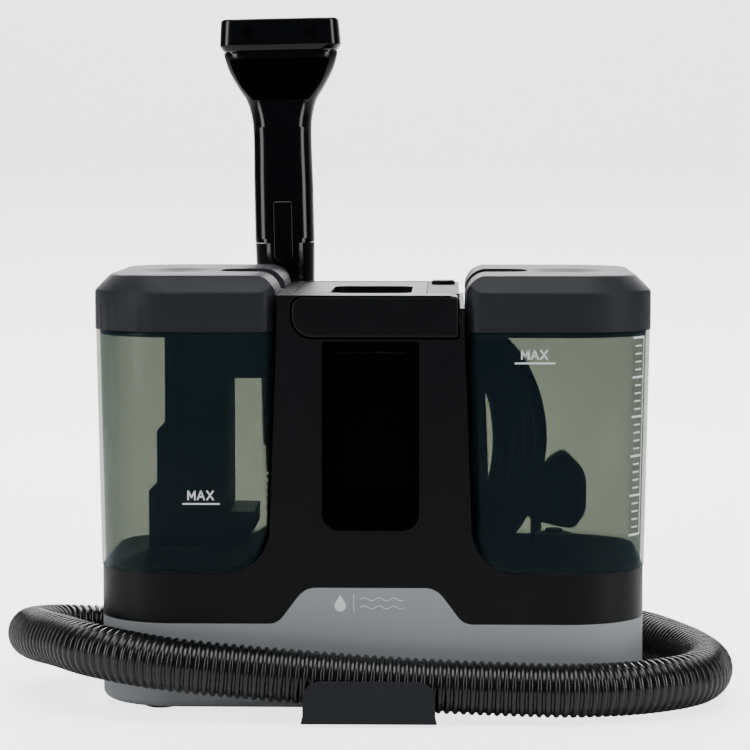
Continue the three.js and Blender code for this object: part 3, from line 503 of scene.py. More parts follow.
def tank_block(name, inset, bottom, top):
    """A tank's space inset by a margin, tapering towards its foot."""
    below = 60
    block = prism(name, plan(inset, TANK_OUTER, 24), below, FAR_UP)
    taper(block)
    lean = (TANK_INNER_BOTTOM - TANK_INNER_TOP) / (top - bottom - TANK_CORNER + inset)
    edges = prism("edges", inner_plan(inset), below, FAR_UP)
    for vertex in edges.data.vertices:
        vertex.co.x += (top * MM - vertex.co.z) * lean
    front = prism("front", tank_outline(inset, bottom, top), -FAR_DEPTH, FAR_DEPTH, "Y")
    return common(block, edges, front)


def mirror_x(piece):
    """The left-hand piece from a right-hand one."""
    piece.data.transform(Matrix.Scale(-1, 4, (1, 0, 0)))
    piece.data.flip_normals()
    return piece


def body_outline(inset):
    """The upper housing's front outline in XZ: a broad base and a column between the tanks."""
    side, neck = TANK_INNER_BOTTOM - TANK_PLAY - inset, TANK_INNER_TOP - TANK_PLAY - inset
    edge, shelf, radius = HALF_WIDTH + 1, SHELF - inset, TANK_CORNER + inset
    right = [(edge, BASE_TOP + GAP - inset), (edge, shelf)]
    right += arc(side + radius, shelf + radius, radius, -90, -180, 24)
    return mirrored(right + [(neck, TANK_TOP), (neck, COLUMN_TOP)])


def bar_outline(grow):
    """The handle bar's outline in XZ."""
    radii = (13.5 + grow, 2.5, 3.5, 8)
    return rounded(HANDLE_LEFT - grow, HANDLE_BOTTOM - grow, HANDLE_RIGHT + grow, HANDLE_TOP, radii, 10)


def well_block(name, grow, low, high):
    """The upright shaft behind the handle bar, grown by a margin."""
    x0, y0, x1, y1 = WELL
    outline = rounded(x0 - grow, y0 - grow, x1 + grow, y1 + grow, WELL_CORNER + grow, 12)
    return prism(name, outline, low, high)


def rear_fillet():
    """The fillet between the column's side and the rear, hugging the tank's rounded inner corner."""
    side, front = TANK_INNER_BOTTOM + TANK_REAR_EDGE, HALF_DEPTH - TANK_REAR_EDGE
    block = box("fillet", TANK_INNER_TOP - WALL, side, front, HALF_DEPTH, SHELF - 2, TANK_TOP - 0.5)
    return cut(block, tank_block("tank", -TANK_PLAY, TANK_BOTTOM, TANK_TOP))


def housing(name, y0, y1):
    """One half of the upper housing, between two Y positions."""
    reach = HALF_DEPTH + 5
    shell = prism(name, body_outline(0), -reach, reach, "Y")
    common(shell, prism("plan", plan(0, steps=24), 50, FAR_UP))
    hollow = prism("hollow", body_outline(WALL), -reach, reach, "Y")
    common(hollow, prism("plan", plan(WALL), 50, DECK))
    margin, corners = 2.5, (RECESS_CORNER, RECESS_CORNER, 1.5, 1.5)
    mouth = rounded(-RECESS_HALF, RECESS_BOTTOM, RECESS_HALF, RECESS_TOP, corners, 12)
    seat = (HANDLE_LEFT - SEAT_GAP, HANDLE_RIGHT + SEAT_GAP, HANDLE_BACK, COVER_BACK + GAP)
    shaft = (WELL[0] - margin, WELL[2] + margin, HANDLE_BACK - 12, WELL[3] + margin)
    cut(
        shell,
        hollow,
        prism("bar seat", bar_outline(SEAT_GAP), -reach, HANDLE_BACK + GAP, "Y"),
        box("cover seat", *seat, DECK_TOP, FAR_UP),
        box("right pillar", HANDLE_RIGHT - 5, 90, -reach, reach, 257, FAR_UP),
        prism("panel", panel_outline(GAP), -reach, FRONT + WALL + GAP, "Y"),
        prism("mouth", mouth, -reach, -80, "Y"),
        box("well", *shaft, DECK - 2, 250),
        prism("inlet", circle(-INLET[0], INLET[1], 15), 70, 100),
        prism("outlet", circle(*OUTLET, 10), 70, 100),
    )
    return common(shell, box("half", -FAR, FAR, y0, y1, 0, FAR))


def vent_slots():
    """Cutters for the exhaust slots in the back."""
    outlines = [rounded(VENT_LEFT, low, VENT_RIGHT, low + VENT_HEIGHT, 1.65, 6) for low in VENT_LEVELS]
    return [prism("vent", outline, HALF_DEPTH - 6, HALF_DEPTH + 5, "Y") for outline in outlines]


def upper_housings():
    front = housing("front", -FAR, -GAP / 2)
    finish(soften(front, 1.0), "front_shell", "black", "front_housing")
    back = join(housing("back", GAP / 2, FAR), rear_fillet(), mirror_x(rear_fillet()))
    cut(back, *vent_slots())
    for x, z in SCREW_WELLS:
        cut(back, prism("screw well", circle(x, z, 4.2, 32), HALF_DEPTH - 2, HALF_DEPTH + 5, "Y"))
    finish(soften(back, 0.8), "rear_shell", "black", "rear_housing")


def hand_liner():
    """The deep recess behind the handle and its shaft, open at the front and the top."""
    wall, front = 2, FRONT + WALL + 0.3

    def deep(name, grow, back):
        half, corner = RECESS_HALF + grow, RECESS_CORNER + grow
        outline = rounded(-half, RECESS_BOTTOM - grow, half, 229, (corner, corner, 1, 1), 14)
        return prism(name, outline, front - (grow == 0), back, "Y")

    liner = join(deep("liner", wall, RECESS_BACK + wall), well_block("shaft", wall, 222, 249.5))
    cut(
        liner,
        deep("inner", 0, RECESS_BACK),
        well_block("inner shaft", 0, 224, 260),
        box("front", -40, 40, front - 1, WELL[1] - wall, 228.9, 260),
    )
    # The liner takes the deep look, a near-black colour painted as the shade inside the recess.
    finish(soften(liner, 1.2), "recess_liner", "deep", "hand_recess_liner")


def cover_shell(name, x0, x1):
    """A shallow cap on the deck behind the handle bar, open underneath."""
    def block(label, inset, low, high):
        sides = (x0 + inset, HANDLE_BACK + GAP + inset, x1 - inset, COVER_BACK - inset)
        return prism(label, rounded(*sides, 1.2, 4), low, high)
    outside = block(name, 0, DECK_TOP + 0.1, HANDLE_TOP)
    return cut(outside, block("inner", COVER_WALL, DECK_TOP - 1, HANDLE_TOP - COVER_WALL))


def handle_and_covers():
    bar = prism("bar", bar_outline(0), FRONT, HANDLE_BACK, "Y")
    finish(soften(bar, 2.6, 5, 50), "carry_handle", "black", "handle_bar")
    split, gap = 34.5, 0.4
    cover = join(cover_shell("cover", HANDLE_LEFT, split), well_block("rim", COVER_WALL, 250, HANDLE_TOP - 1))
    cut(cover, well_block("well", 0, 240, FAR_UP))
    finish(soften(cover, 1.0), "well_cover", "black", "top_cover")
    panel = cover_shell("panel", split + gap, HANDLE_RIGHT)
    button_place = (45, 62)
    cut(panel, prism("button hole", circle(*button_place, 8.3, 64), 250, FAR_UP))
    finish(soften(panel, 0.9), "button_panel", "charcoal", "switch_panel")
    profile = [(2.5, 256.3), (2.5, 259), (8, 259), (8, 266.2), (7.7, 267.0), (7.0, 267.5), (6.2, 267.4),
               (3.5, 266.9), (0.4, 266.8)]
    button = loft("button", [[(x, y, z) for x, y in circle(*button_place, r, 64)] for r, z in profile])
    finish(smooth(button), "button_cap", "black", "power_button")


upper_housings()
hand_liner()
handle_and_covers()


# ---- tanks and lids, made on the right and mirrored

LID_GAP, SKIRT_LOW, SEAL = 0.5, 238.2, (238.4, 241)
DISH, DISH_HALF, DISH_DEPTH, DISH_ABOVE = (126, -8), (29, 33), 4, 3
CHANNEL, CHANNEL_CORNERS, CHANNEL_FLOOR = (40, -32, 100, 16), (0, 14, 14, 0), 264


def tank(name, x, y, hole):
    """An open tank with a round hole in its floor."""
    shell = tank_block(name, 0, TANK_BOTTOM, TANK_TOP)
    space = tank_block("space", TANK_WALL, TANK_BOTTOM + TANK_WALL, TANK_TOP + 20)
    cut(shell, space, prism("hole", circle(x, y, hole), 80, 100))
    return soften(shell, 0.9)


def hollow_block(name, outer, inner, low, high):
    """An upright band that follows a tank's walls between two insets."""
    band = tank_block(name, outer, 0, 280)
    cut(band, tank_block("inside", inner, 0, 290))
    return common(band, box("band", 0, 200, -FAR_DEPTH, FAR_DEPTH, low, high))


def dish():
    """The cutter for the shallow oval dish in a lid's top."""
    steps, rings = 8, []
    for i in range(steps):
        slope = radians(90 * i / steps)
        z = LID_TOP + DISH_ABOVE - (DISH_ABOVE + DISH_DEPTH) * sin(slope)
        rings.append(ring(*DISH, z, *(half * cos(slope) for half in DISH_HALF), 64))
    return loft("dish", rings + [ring(*DISH, LID_TOP - DISH_DEPTH, 0.5, sides=64)])


def tank_lid(name):
    """A chamfered lid with a skirt inside the tank, a finger channel and a dish."""
    bottom, shoulder = TANK_TOP + LID_GAP, LID_TOP - LID_CHAMFER
    profile = ((0, bottom), (0, shoulder - 1.4), (0.25, shoulder - 0.3), (0.9, shoulder + 0.7),
               (LID_CHAMFER - 1.1, LID_TOP - 1.2), (LID_CHAMFER - 0.1, LID_TOP - 0.45),
               (LID_CHAMFER + 1.2, LID_TOP))
    lid = loft(name, [[(x, y, z) for x, y in plan(inset, TANK_OUTER + 0.5, 24)] for inset, z in profile])
    front = rounded(TANK_INNER_TOP, bottom - 1, FAR_SIDE, LID_TOP + 0.01, (0, 0, 0, LID_CORNER), 16)
    common(lid, prism("front", front, -FAR_DEPTH, FAR_DEPTH, "Y"), prism("edges", inner_plan(0), 200, FAR_UP))
    skirt = hollow_block("skirt", TANK_WALL + 1.8, TANK_WALL + 3.5, SKIRT_LOW, 258)
    join(cut(lid, tank_block("hollow", TANK_WALL + 2, 0, 260)), skirt)
    channel = rounded(*CHANNEL, CHANNEL_CORNERS, 14)
    cut(lid, prism("channel", channel, CHANNEL_FLOOR, FAR_UP), dish())
    return soften(lid, 1.2, 3, 28)


def seal_band(name):
    return soften(hollow_block(name, TANK_WALL + 0.3, TANK_WALL + 1.5, *SEAL), 0.4, 2)


finish(tank("tank", *OUTLET, 9.2), "clean_water_tank", "smoked", "clean_tank")
finish(mirror_x(tank("tank", *INLET, 13)), "dirty_water_tank", "smoked", "dirty_tank")
finish(tank_lid("lid"), "clean_lid", "charcoal", "clean_tank_lid")
finish(mirror_x(tank_lid("lid")), "dirty_lid", "charcoal", "dirty_tank_lid")
finish(seal_band("seal"), "clean_seal", "rubber", "clean_lid_seal")
finish(mirror_x(seal_band("seal")), "dirty_seal", "rubber", "dirty_lid_seal")


# ---- curves and hose

def between(a, b, at_a, at_b, t):
    """The point at t on the line that passes a at at_a and b at at_b."""
    return a * ((at_b - t) / (at_b - at_a)) + b * ((t - at_a) / (at_b - at_a))


def spline(points, spacing):
    """A centripetal Catmull-Rom curve through points, resampled at an even spacing."""
    points = [Vector(p) for p in points]
    points = [points[0] * 2 - points[1]] + points + [points[-1] * 2 - points[-2]]
    fine = []
    for p0, p1, p2, p3 in zip(points, points[1:], points[2:], points[3:]):
        t1 = (p1 - p0).length ** 0.5
        t2 = t1 + (p2 - p1).length ** 0.5
        t3 = t2 + (p3 - p2).length ** 0.5
        steps = max(4, int((p2 - p1).length))
        for i in range(steps):
            t = t1 + (t2 - t1) * i / steps
            middle = between(p1, p2, t1, t2, t)
            before = between(between(p0, p1, 0, t1, t), middle, 0, t2, t)
            after = between(middle, between(p2, p3, t2, t3, t), t1, t3, t)
            fine.append(between(before, after, t1, t2, t))
    fine.append(points[-2])
    lengths = [0.0, *accumulate((b - a).length for a, b in zip(fine, fine[1:]))]
    count = max(2, round(lengths[-1] / spacing))
    even, k = [], 0
    for i in range(count + 1):
        want = lengths[-1] * i / count
        while k < len(fine) - 2 and lengths[k + 1] < want:
            k += 1
        share = (want - lengths[k]) / max(1e-9, lengths[k + 1] - lengths[k])
        even.append(fine[k].lerp(fine[k + 1], share))
    return even


def tube(name, path, radius, sides=24, place=None):
    """A round bar along a path; radius is a number or a function of the point's number."""
    behind, ahead = [path[0], *path], [*path[1:], path[-1]]
    tangents = [(b - a).normalized() for a, b in zip(behind, ahead)]
    across = tangents[0].orthogonal().normalized()
    rings = []
    for i, (point, along) in enumerate(zip(path, tangents)):
        across = (across - along * across.dot(along)).normalized()
        other = along.cross(across)
        r = radius(i) if callable(radius) else radius
        rings.append([point + across * x + other * y for x, y, _ in ring(0, 0, 0, r, sides=sides)])
    return smooth(loft(name, rings, place))


HOSE_POINTS = (
    (-167, 45, 30), (-180, 45, 30), (-192, 44.5, 30), (-215, 33, 32), (-227, 5, 35), (-218, -30, 38),
    (-200, -62, 40), (-174, -98, 40), (-130, -119, 36), (-79, -120.5, 31), (-30, -120.5, 27),
    (20, -120.5, 23.6), (80, -120, 20.9), (130, -119.5, 20), (172, -104, 19.5), (205, -75, 19.5),
    (217, -35, 19.5), (213, 10, 19.5), (200, 55, 19.5), (183, 95, 19.5), (150, 126, 20), (100, 140, 20),
    (40, 143, 22), (0, 139, 28), (-40, 131, 50), (-61, 126, 92), (-62.6, 125, 130), (-63.4, 125, 178))
RIB = (15.3, 15.45, 16.5, 16.95, 17.0, 16.95, 16.5, 15.45)  # radii across one rib of the hose
RIB_PITCH = 5.2
START_CUFF, END_CUFF = 24, 72  # path points left plain at the port and inside the tool


def hose():
    path = spline(HOSE_POINTS, RIB_PITCH / len(RIB))

    def radius(i):
        return 17.0 if i < START_CUFF or i > len(path) - END_CUFF else RIB[i % len(RIB)]
    made = tube("hose", path, radius)
    finish(made, "suction_hose", "hose", "hose", rides=False)
    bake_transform(made)


def port():
    """The socket on the left side that the hose plugs into."""
    place = along_x(-181, *PORT)
    made = turned("port", [(19.6, 0), (19.6, 28.6), (19.6, 35)], place)
    join(made, turned("flange", [(21.2, 0), (22.6, 0.7), (23, 1.8), (23, 6.7)], place))
    cut(made, turned("bore", [(18, -5), (18, 15)], place),
        turned("duct bore", [(14.2, 14), (14.2, 40)], place))
    finish(soften(made, 0.6, 2), "hose_socket", "charcoal", "hose_port")


hose()
port()


# ---- hand tool, in its own frame

TOOL_PLACE = Matrix.Translation(Vector((-65.8, 125, 291)) * MM) @ Matrix.Rotation(radians(-1.2), 4, "Y")
NECK = ((0.3, 20.7, 19.5), (40, 20.5, 19.3), (79, 20.2, 19.2), (88.4, 21.2, 18.5), (98.8, 24.3, 18),
        (107.1, 29.4, 17.5), (119.6, 36.1, 17.5), (130, 39.3, 18), (132.4, 39.5, 18))
PASSAGE = ((-1, 14, 14), (60, 14, 13.5), (95, 15, 12), (110, 24, 11), (125, 33, 11), (160, 35, 11.5))
BAND = ((132.8, 38.6, 17.4), (133.4, 39.6, 18.2), (136.8, 41.9, 19.2), (137.6, 41.9, 19.2),
        (153.6, 40.8, 18.3), (154.6, 40.4, 17.9), (155, 39.9, 17.5))
GRIP = ((-142, 18.6, 18.6), (-141, 18.9, 18.9), (-60, 19.2, 19.2), (-0.3, 20.7, 19.5))
NECK_POWER, BAND_POWER = 2.6, 4.5
KEY_HALF, KEY_LOW, KEY_HIGH = 6.7, -13, 29
HINGE_Y, HINGE_Z = 25, 62


def oval(half_x, half_y, power, z):
    """A level superellipse; a higher power makes it squarer."""
    points = []
    for c, s, _ in ring(0, 0, 0, 1, sides=96):
        r = (abs(c) ** power + abs(s) ** power) ** (-1 / power)
        points.append((half_x * r * c, half_y * r * s, z))
    return points


def limb(name, stations, power, grow=0.0, curved=True):
    """A standing limb through (z, half width, half depth) stations, curved between them where asked."""
    points = [Vector(s) for s in stations]
    if curved:
        points = spline(points, 2.0)
    return loft(name, [oval(p[1] + grow, p[2] + grow, power, p[0]) for p in points], TOOL_PLACE)


def tool_prism(name, outline, low, high, axis="Y"):
    return prism(name, outline, low, high, axis, TOOL_PLACE)


def key_outline(grow):
    half, low, high = KEY_HALF + grow, KEY_LOW - grow, KEY_HIGH + grow
    return rounded(-half, low, half, high, (half - 0.2, half - 0.2, 1.6, 1.6), 12)


def window_outline(inset):
    """The dished window under the head: straight top, flanks curving in to a flat foot."""
    flank = bend((34.5 - inset, 124), (30 - inset, 109), (20 - inset, 99 + inset), 12)
    return mirrored([(35 - inset, 128 - inset)] + flank)


def pin_hole(radius):
    return tool_prism("pin", circle(HINGE_Y, HINGE_Z, radius, 32), -20, 20, "X")


def neck():
    made = limb("neck", NECK, NECK_POWER)
    join(made, limb("core", ((131.5, 38, 16.2), (153, 38, 16.2)), BAND_POWER, curved=False))
    for x0, x1 in ((-12, -8.5), (8.5, 12)):
        tip = arc(HINGE_Y, HINGE_Z, 5, -90, 90, 12)
        ear = [(15, HINGE_Z - 6), (HINGE_Y, HINGE_Z - 5)] + tip + [(15, HINGE_Z + 12)]
        join(made, tool_prism("ear", ear, x0, x1, "X"))
    cut(made, limb("passage", PASSAGE, 2.4), tool_prism("window", window_outline(0), -40, -14),
        tool_prism("key", key_outline(0.4), -40, -17), pin_hole(2.1))
    finish(soften(made, 0.6, 3, 30), "nozzle_neck", "gloss", "tool_neck")


def front_cover():
    """A thin shell over the neck's front, with a line, a stub and a ring pressed into it."""
    made = limb("cover", NECK[:4], NECK_POWER, 2)
    cut(made, limb("inside", NECK[:4], NECK_POWER, 0.4))
    common(made, tool_prism("front", rounded(-18.6, 3, 18.6, 80.4, (2, 2, 6, 6), 12), -40, -8))
    pressed_ring = tool_prism("ring", circle(0, 73.3, 4.6), -40, -20.2)
    cut(pressed_ring, tool_prism("ring middle", circle(0, 73.3, 3.2), -50, -10))
    cut(made, tool_prism("key", key_outline(0.6), -40, -8),
        tool_prism("line", rounded(-9, 52.8, 9, 54, 0.5, 3), -40, -20.3),
        tool_prism("stub", rounded(-3.1, 28, 3.1, 37.4, 0.5, 3), -40, -20.1), pressed_ring)
    finish(soften(made, 0.8, 4, 30), "nozzle_cover", "gloss", "tool_front_cover")


def head_band():
    """The band round the suction mouth, with two catch sockets."""
    made = limb("band", BAND, BAND_POWER, curved=False)
    cut(made, limb("inside", ((128, 38.4, 16.6), (160, 38.4, 16.6)), BAND_POWER, curved=False))
    for x in (-21, 21):
        cut(made, tool_prism("catch", rounded(x - 3, 142.4, x + 3, 148.4, 0.7, 4), -30, -15))
    finish(soften(made, 0.4, 2, 30), "nozzle_band", "gloss", "tool_head_band")


def grip():
    """The lower half of the handle, ribbed at the back and seated on a flange."""
    made = limb("grip", GRIP, 2.1, curved=False)
    join(made, turned("flange", [(22.6, -67), (23.5, -66.2), (23.5, -62.8), (22.6, -62)], TOOL_PLACE))
    cut(made, turned("hose bore", [(17.6, -150), (17.6, -108)], TOOL_PLACE),
        turned("bore", [(14, -120), (14, 10)], TOOL_PLACE), tool_prism("key", key_outline(0.4), -40, -17))
    for z in range(-52, -18, 5):
        groove = turned("groove", [(30, z), (30, z + 1.2)], TOOL_PLACE)
        cut(groove, turned("core", [(18.9, z - 1), (18.9, z + 3)], TOOL_PLACE))
        cut(made, common(groove, tool_prism("back", [(-40, -60), (40, -60), (40, 0), (-40, 0)], 4, 40)))
    finish(soften(made, 0.5, 2, 30), "lower_grip", "gloss", "tool_lower_grip")


def window_and_key():
    pane = tool_prism("pane", window_outline(0.4), -15.6, -14.1)
    # The pane takes the deep look, a near-black colour painted as the shade at the bottom of the window's
    # recess.
    finish(soften(pane, 0.4, 2), "nozzle_window", "deep", "tool_window")
    key = tool_prism("key", key_outline(0), -23.2, -19.6)
    finish(soften(key, 1.1, 4), "release_button", "gloss", "release_key")


def trigger():
    outline = [(22, 67), (28.5, 65.5)] + bend((29, 65), (31, 40), (29, 20), 10)[1:]
    outline += bend((29, 20), (28, 0), (34, -18), 10)[1:] + [(32.6, -20.8), (31, -21)]
    outline += bend((31, -21), (24, 0), (25, 20), 10)[1:] + [(22.6, 42), (22, 45)]
    lever = cut(tool_prism("lever", outline, -8, 8, "X"), pin_hole(2.3))
    finish(soften(lever, 1.5, 4), "trigger_lever", "charcoal", "trigger")
    spindle = tool_prism("pin", circle(HINGE_Y, HINGE_Z, 2, 32), -12.5, 12.5, "X")
    finish(soften(spindle, 0.4, 2), "trigger_spindle", "steel", "trigger_pin")


TUFT = ((1.05, 22), (1.2, 26), (1.45, 29.6), (1.1, 30))  # radii along one tuft of bristles


def brush_and_tip():
    back = soften(tool_prism("back", rounded(-34, 138, 34, 153, 2.5, 6), 19.6, 22.5), 0.6, 2)
    tufts = [back]
    for row in range(3):
        for i in range(19):
            x, z = -30.6 + 3.4 * i, 141.5 + 4 * row
            rings = [[(u, y, v) for u, v, _ in ring(x, z, 0, radius, sides=10)] for radius, y in TUFT]
            tufts.append(smooth(loft("tuft", rings, TOOL_PLACE)))
    finish(merged("brush", *tufts), "brush_strip", "bristle", "tool_brush")
    profile = [(4, 0), (4, 3.4), (3.4, 4.2), (2.2, 5), (2, 9.2), (1.4, 9.6)]
    tip = turned("tip", profile, TOOL_PLACE @ along_y(0, 18.4, 122), 32)
    finish(smooth(tip, 35), "spray_nozzle", "brass", "spray_tip")
    path = spline([(14.5, 19.6, -60), (14.6, 19.8, -30), (14.6, 19.8, 15)], 3)
    finish(tube("tube", path, 2.2, 16, TOOL_PLACE), "solution_line", "rubber", "solution_tube")


for make in (neck, front_cover, window_and_key, head_band, grip, trigger, brush_and_tip):
    make()


# ---- holder, hose rest, cord and small parts

def tool_holder():
    """The ring on the back that the hand tool stands in, with its arm and screwed plate."""
    x, y, low, high = -64.1, 125, 203, 222.8
    profile = ((23.2, low), (24, low + 0.8), (24, high - 0.8), (23.2, high))
    made = turned("ring", profile, None, 72, x, y)
    join(made, box("plate", -56.5, -20, HALF_DEPTH + TOUCH, 103.5, 194, high),
         box("arm", -56.5, -42, 103, 116, low, high))
    cut(made, prism("bore", circle(x, y, 20.6, 72), 190, 230))
    for z in (199.5, 217):
        cut(made, prism("screw", circle(-28, z, 2.6, 24), 102.2, 110, "Y"))
    finish(soften(made, 0.8), "tool_cradle", "black", "tool_holder")


def hose_rest():
    """The clip that holds the hose in front: an upright lip on a plate with two T-shaped rails."""
    half, front, low, high, corner, flare = 41, -142, 2.2, 28.7, 11, 1.2
    lip = [(-half - flare, low), (half + flare, low), (half, low + 5)]
    lip += arc(half - corner, high - corner, corner, 0, 90)
    lip += arc(corner - half, high - corner, corner, 90, 180) + [(-half, low + 5)]
    rest = box("rest", -half, half, front, -38, low, low + 1.4)
    join(rest, prism("lip", lip, front, front + 2.4, "Y"))
    for x in (-REST_RAIL, REST_RAIL):
        join(rest, box("rib", x - 2.5, x + 2.5, -62, -42, low + 0.5, 8.6),
             box("head", x - 6, x + 6, -62, -42, 7.6, 10))
    finish(soften(rest, 0.9, 3), "hose_clip", "charcoal", "hose_rest")


FEET = {"front_left": (-1, -1), "front_right": (1, -1), "rear_left": (-1, 1), "rear_right": (1, 1),
        "centre": (0, 0)}  # the side of the middle that each is on, in X and Y


def feet():
    profile = ((9, 0), (10.4, 0.5), (11, 1.5), (11, 2.6), (9, 3.95))
    for place, (x, y) in FEET.items():
        foot = turned("foot", profile, None, 48, x * 135, y * 70)
        finish(smooth(foot, 50), f"rubber_foot_{place}", "rubber", f"foot_{place}")


CORD, COIL_POINTS = 3.8, 90
COIL = {"x": 55, "z": 153, "half_x": 58.6, "half_z": 83, "y": 109, "turns": 5.865, "start": -0.35}
STEP = {"x": 7.4, "y": 5.8, "z": 5.4, "first_y": 7.9}  # how far each turn lies inside and behind the last
BACK_FACE = 100.1  # where pieces mounted on the back start, just clear of the housing
HOOK_RADIUS, HOOK_BACK, HOOK_HEIGHT = 9, 158, 38  # the hooks stand this far above and below the coil's middle
PLUG_OUTLINE = ((117.5, 137.5), (129.5, 146), (146, 129), (146, 101), (137, 88), (107, 95), (94.5, 108))
PLUG_NEAR, PLUG_FAR, PLUG_Y, PLUG_Z = 128, 143, 135.5, 107
PLUG_PINS = {"earth": (127, 131, 2, 4), "left": (114, 107, 3.2, 2), "right": (136, 110, 3.2, 2)}


def cord_points():
    """The cord: out of the back, up, round the hooks in a narrowing coil, and across into the plug."""
    x, z = CORD_EXIT
    points = [(x, 90, z), (x, 98, z), (x, 107, z), (109.8, 111, 40), (109.5, 110, 60), (109.8, 109, 95)]
    for i in range(COIL_POINTS):
        turns = i / (COIL_POINTS - 1) * COIL["turns"]
        angle, inward = COIL["start"] + turns * 2 * pi, max(0, turns - 1)
        points.append((COIL["x"] + (COIL["half_x"] - STEP["x"] * inward) * cos(angle),
                       COIL["y"] + STEP["first_y"] * min(turns, 1) + STEP["y"] * inward,
                       COIL["z"] + (COIL["half_z"] - STEP["z"] * inward) * sin(angle)))
    points += [(68.5, 149.6, 104.5), (75, 149.5, 108), (82, 144, 109), (87, 138.8, 108), (91, 136, 107.2)]
    return points + [(94, PLUG_Y, PLUG_Z), (98, PLUG_Y, PLUG_Z)]


def rounded_polygon(corners):
    """A polygon whose corners are curves that reach part of the way along each side."""
    share, made = 0.3, []
    for i, corner in enumerate(corners):
        before, after = corners[i - 1], corners[(i + 1) % len(corners)]
        ends = [[c + (n - c) * share for c, n in zip(corner, other)] for other in (before, after)]
        made += bend(ends[0], corner, ends[1], 10)
    return made


def cord_and_plug():
    finish(tube("cord", spline(cord_points(), 2.0), CORD, 18), "mains_cord", "cord", "power_cord")
    x, z = CORD_EXIT
    sleeve = turned("sleeve", [(6.8, 0), (6.8, 7.6)], along_y(x, 94, z))
    join(sleeve, turned("flange", [(9, 0), (9, 0.9), (8.5, 1.5)], along_y(x, BACK_FACE, z)))
    cut(sleeve, turned("bore", [(5.3, -5), (5.3, 20)], along_y(x, 94, z)))
    finish(smooth(sleeve, 35), "cord_bushing", "rubber", "cord_grommet")

    body = soften(prism("plug", rounded_polygon(PLUG_OUTLINE), PLUG_NEAR, PLUG_FAR, "Y"), 3.5, 5, 60)
    collar = [(6.2, 0), (6.2, 2.2), (5.6, 2.4), (5.6, 3.6), (6.4, 3.8), (6.8, 9)]
    join(body, turned("collar", collar, along_x(90, PLUG_Y, PLUG_Z), 40))
    cut(body, turned("bore", [(CORD + 0.7, 0), (CORD + 0.7, 20)], along_x(80, PLUG_Y, PLUG_Z), 32))
    finish(smooth(body, 35), "plug_moulding", "cord", "plug_body")
    for place, (x, z, half_x, half_z) in PLUG_PINS.items():
        pin = box("pin", x - half_x, x + half_x, PLUG_FAR + TOUCH, 158, z - half_z, z + half_z)
        finish(soften(pin, 0.8, 3), f"contact_{place}", "brass", f"plug_pin_{place}")


def cord_hook(place, side):
    """A post with a long plate across its end; side is 1 above the coil's middle and -1 below."""
    x, z, radius = COIL["x"], COIL["z"] + side * HOOK_HEIGHT, HOOK_RADIUS
    length = HOOK_BACK - 1 - BACK_FACE
    post = turned("post", [(radius, 0), (radius, length)], along_y(x, BACK_FACE, z), 48)
    low, high = sorted((z - side * radius, z + side * 40))
    radii = (radius, radius, 6, 6) if side > 0 else (6, 6, radius, radius)
    plate = rounded(x - radius, low, x + radius, high, radii, 12)
    join(post, prism("plate", plate, HOOK_BACK - 4, HOOK_BACK, "Y"))
    finish(soften(post, 1.0, 3), f"{place}_hook", "black", f"cord_hook_{place}")


TOWER_OUTLINE = ((-91, 92.9), (-88, 94.4), (-80, 104), (-80, 116), (-97, 116), (-97, 205), (-68, 205),
                 (-68, 232.5), (-139, 232.5), (-139, 176), (-144.5, 170), (-144.5, 134), (-150, 130),
                 (-150, 92.9))
FLOAT_PROFILE = ((0.5, 112), (9.5, 112), (11, 113.5), (11, 142.5), (9.5, 144), (8, 144), (8, 147), (7, 148),
                 (0.5, 148))


def tower():
    """The separator that the dirty water enters through, with its chamber and ducts cut out."""
    x, y = -INLET[0], INLET[1]
    made = prism("tower", TOWER_OUTLINE, 4, 66, "Y")
    cut(made, prism("duct", circle(x, y, 15), 80, 200), prism("chamber", circle(-119, y, 24), 197, 226),
        box("chamber", -130, -76, 14, 56, 210, 226), prism("inlet", circle(y, 212, 9), -160, -120, "X"),
        prism("outlet", circle(-84, y, 9), 220, 240))
    for z in range(150, 191, 10):
        cut(made, box("groove", -128, -112, 3, 5, z, z + 1.6))
    finish(soften(made, 1.6, 4), "separator_column", "tower", "separator_tower")


def float_and_valve():
    ball = turned("float", FLOAT_PROFILE, None, 48, -124, 80)
    finish(smooth(ball, 35), "float_cup", "tower", "water_float")
    cap = [(8.8, 84), (8.8, 92.9), (13, 92.9), (13, 97.2), (12.2, 98)]
    body = turned("valve", cap, None, 48, *OUTLET)
    cut(body, prism("bore", circle(*OUTLET, 3.6, 32), 80, 100))
    finish(smooth(body, 35), "outlet_cap", "tower", "outlet_valve")
    profile = [(2.4, 80.5), (2.8, 81), (2.8, 98.6), (6, 98.6), (6, 100.4), (5.4, 101)]
    finish(smooth(turned("pin", profile, None, 32, *OUTLET), 35), "outlet_pin", "tower", "valve_plunger")


tool_holder()
hose_rest()
feet()
cord_and_plug()
cord_hook("upper", 1)
cord_hook("lower", -1)
tower()
float_and_valve()


# ---- printed marks

def stroke(a, b, width, proud=PRINT_PROUD):
    """A straight printed stroke on the front, from point a to point b in XZ."""
    a, b = Vector(a), Vector(b)
    along = (b - a).normalized() * width / 2
    side = Vector((-along.y, along.x))
    corners = [a - along * 0.4 - side, b + along * 0.4 - side, b + along * 0.4 + side, a - along * 0.4 + side]
    return prism("stroke", corners, FRONT - proud, FRONT + TOUCH, "Y")


LETTERS = {
    "M": (((0, 0), (0, 1)), ((0, 1), (0.4, 0.25)), ((0.4, 0.25), (0.8, 1)), ((0.8, 1), (0.8, 0))),
    "A": (((0, 0), (0.4, 1)), ((0.4, 1), (0.8, 0)), ((0.15, 0.33), (0.65, 0.33))),
    "X": (((0, 0), (0.75, 1)), ((0, 1), (0.75, 0))),
}


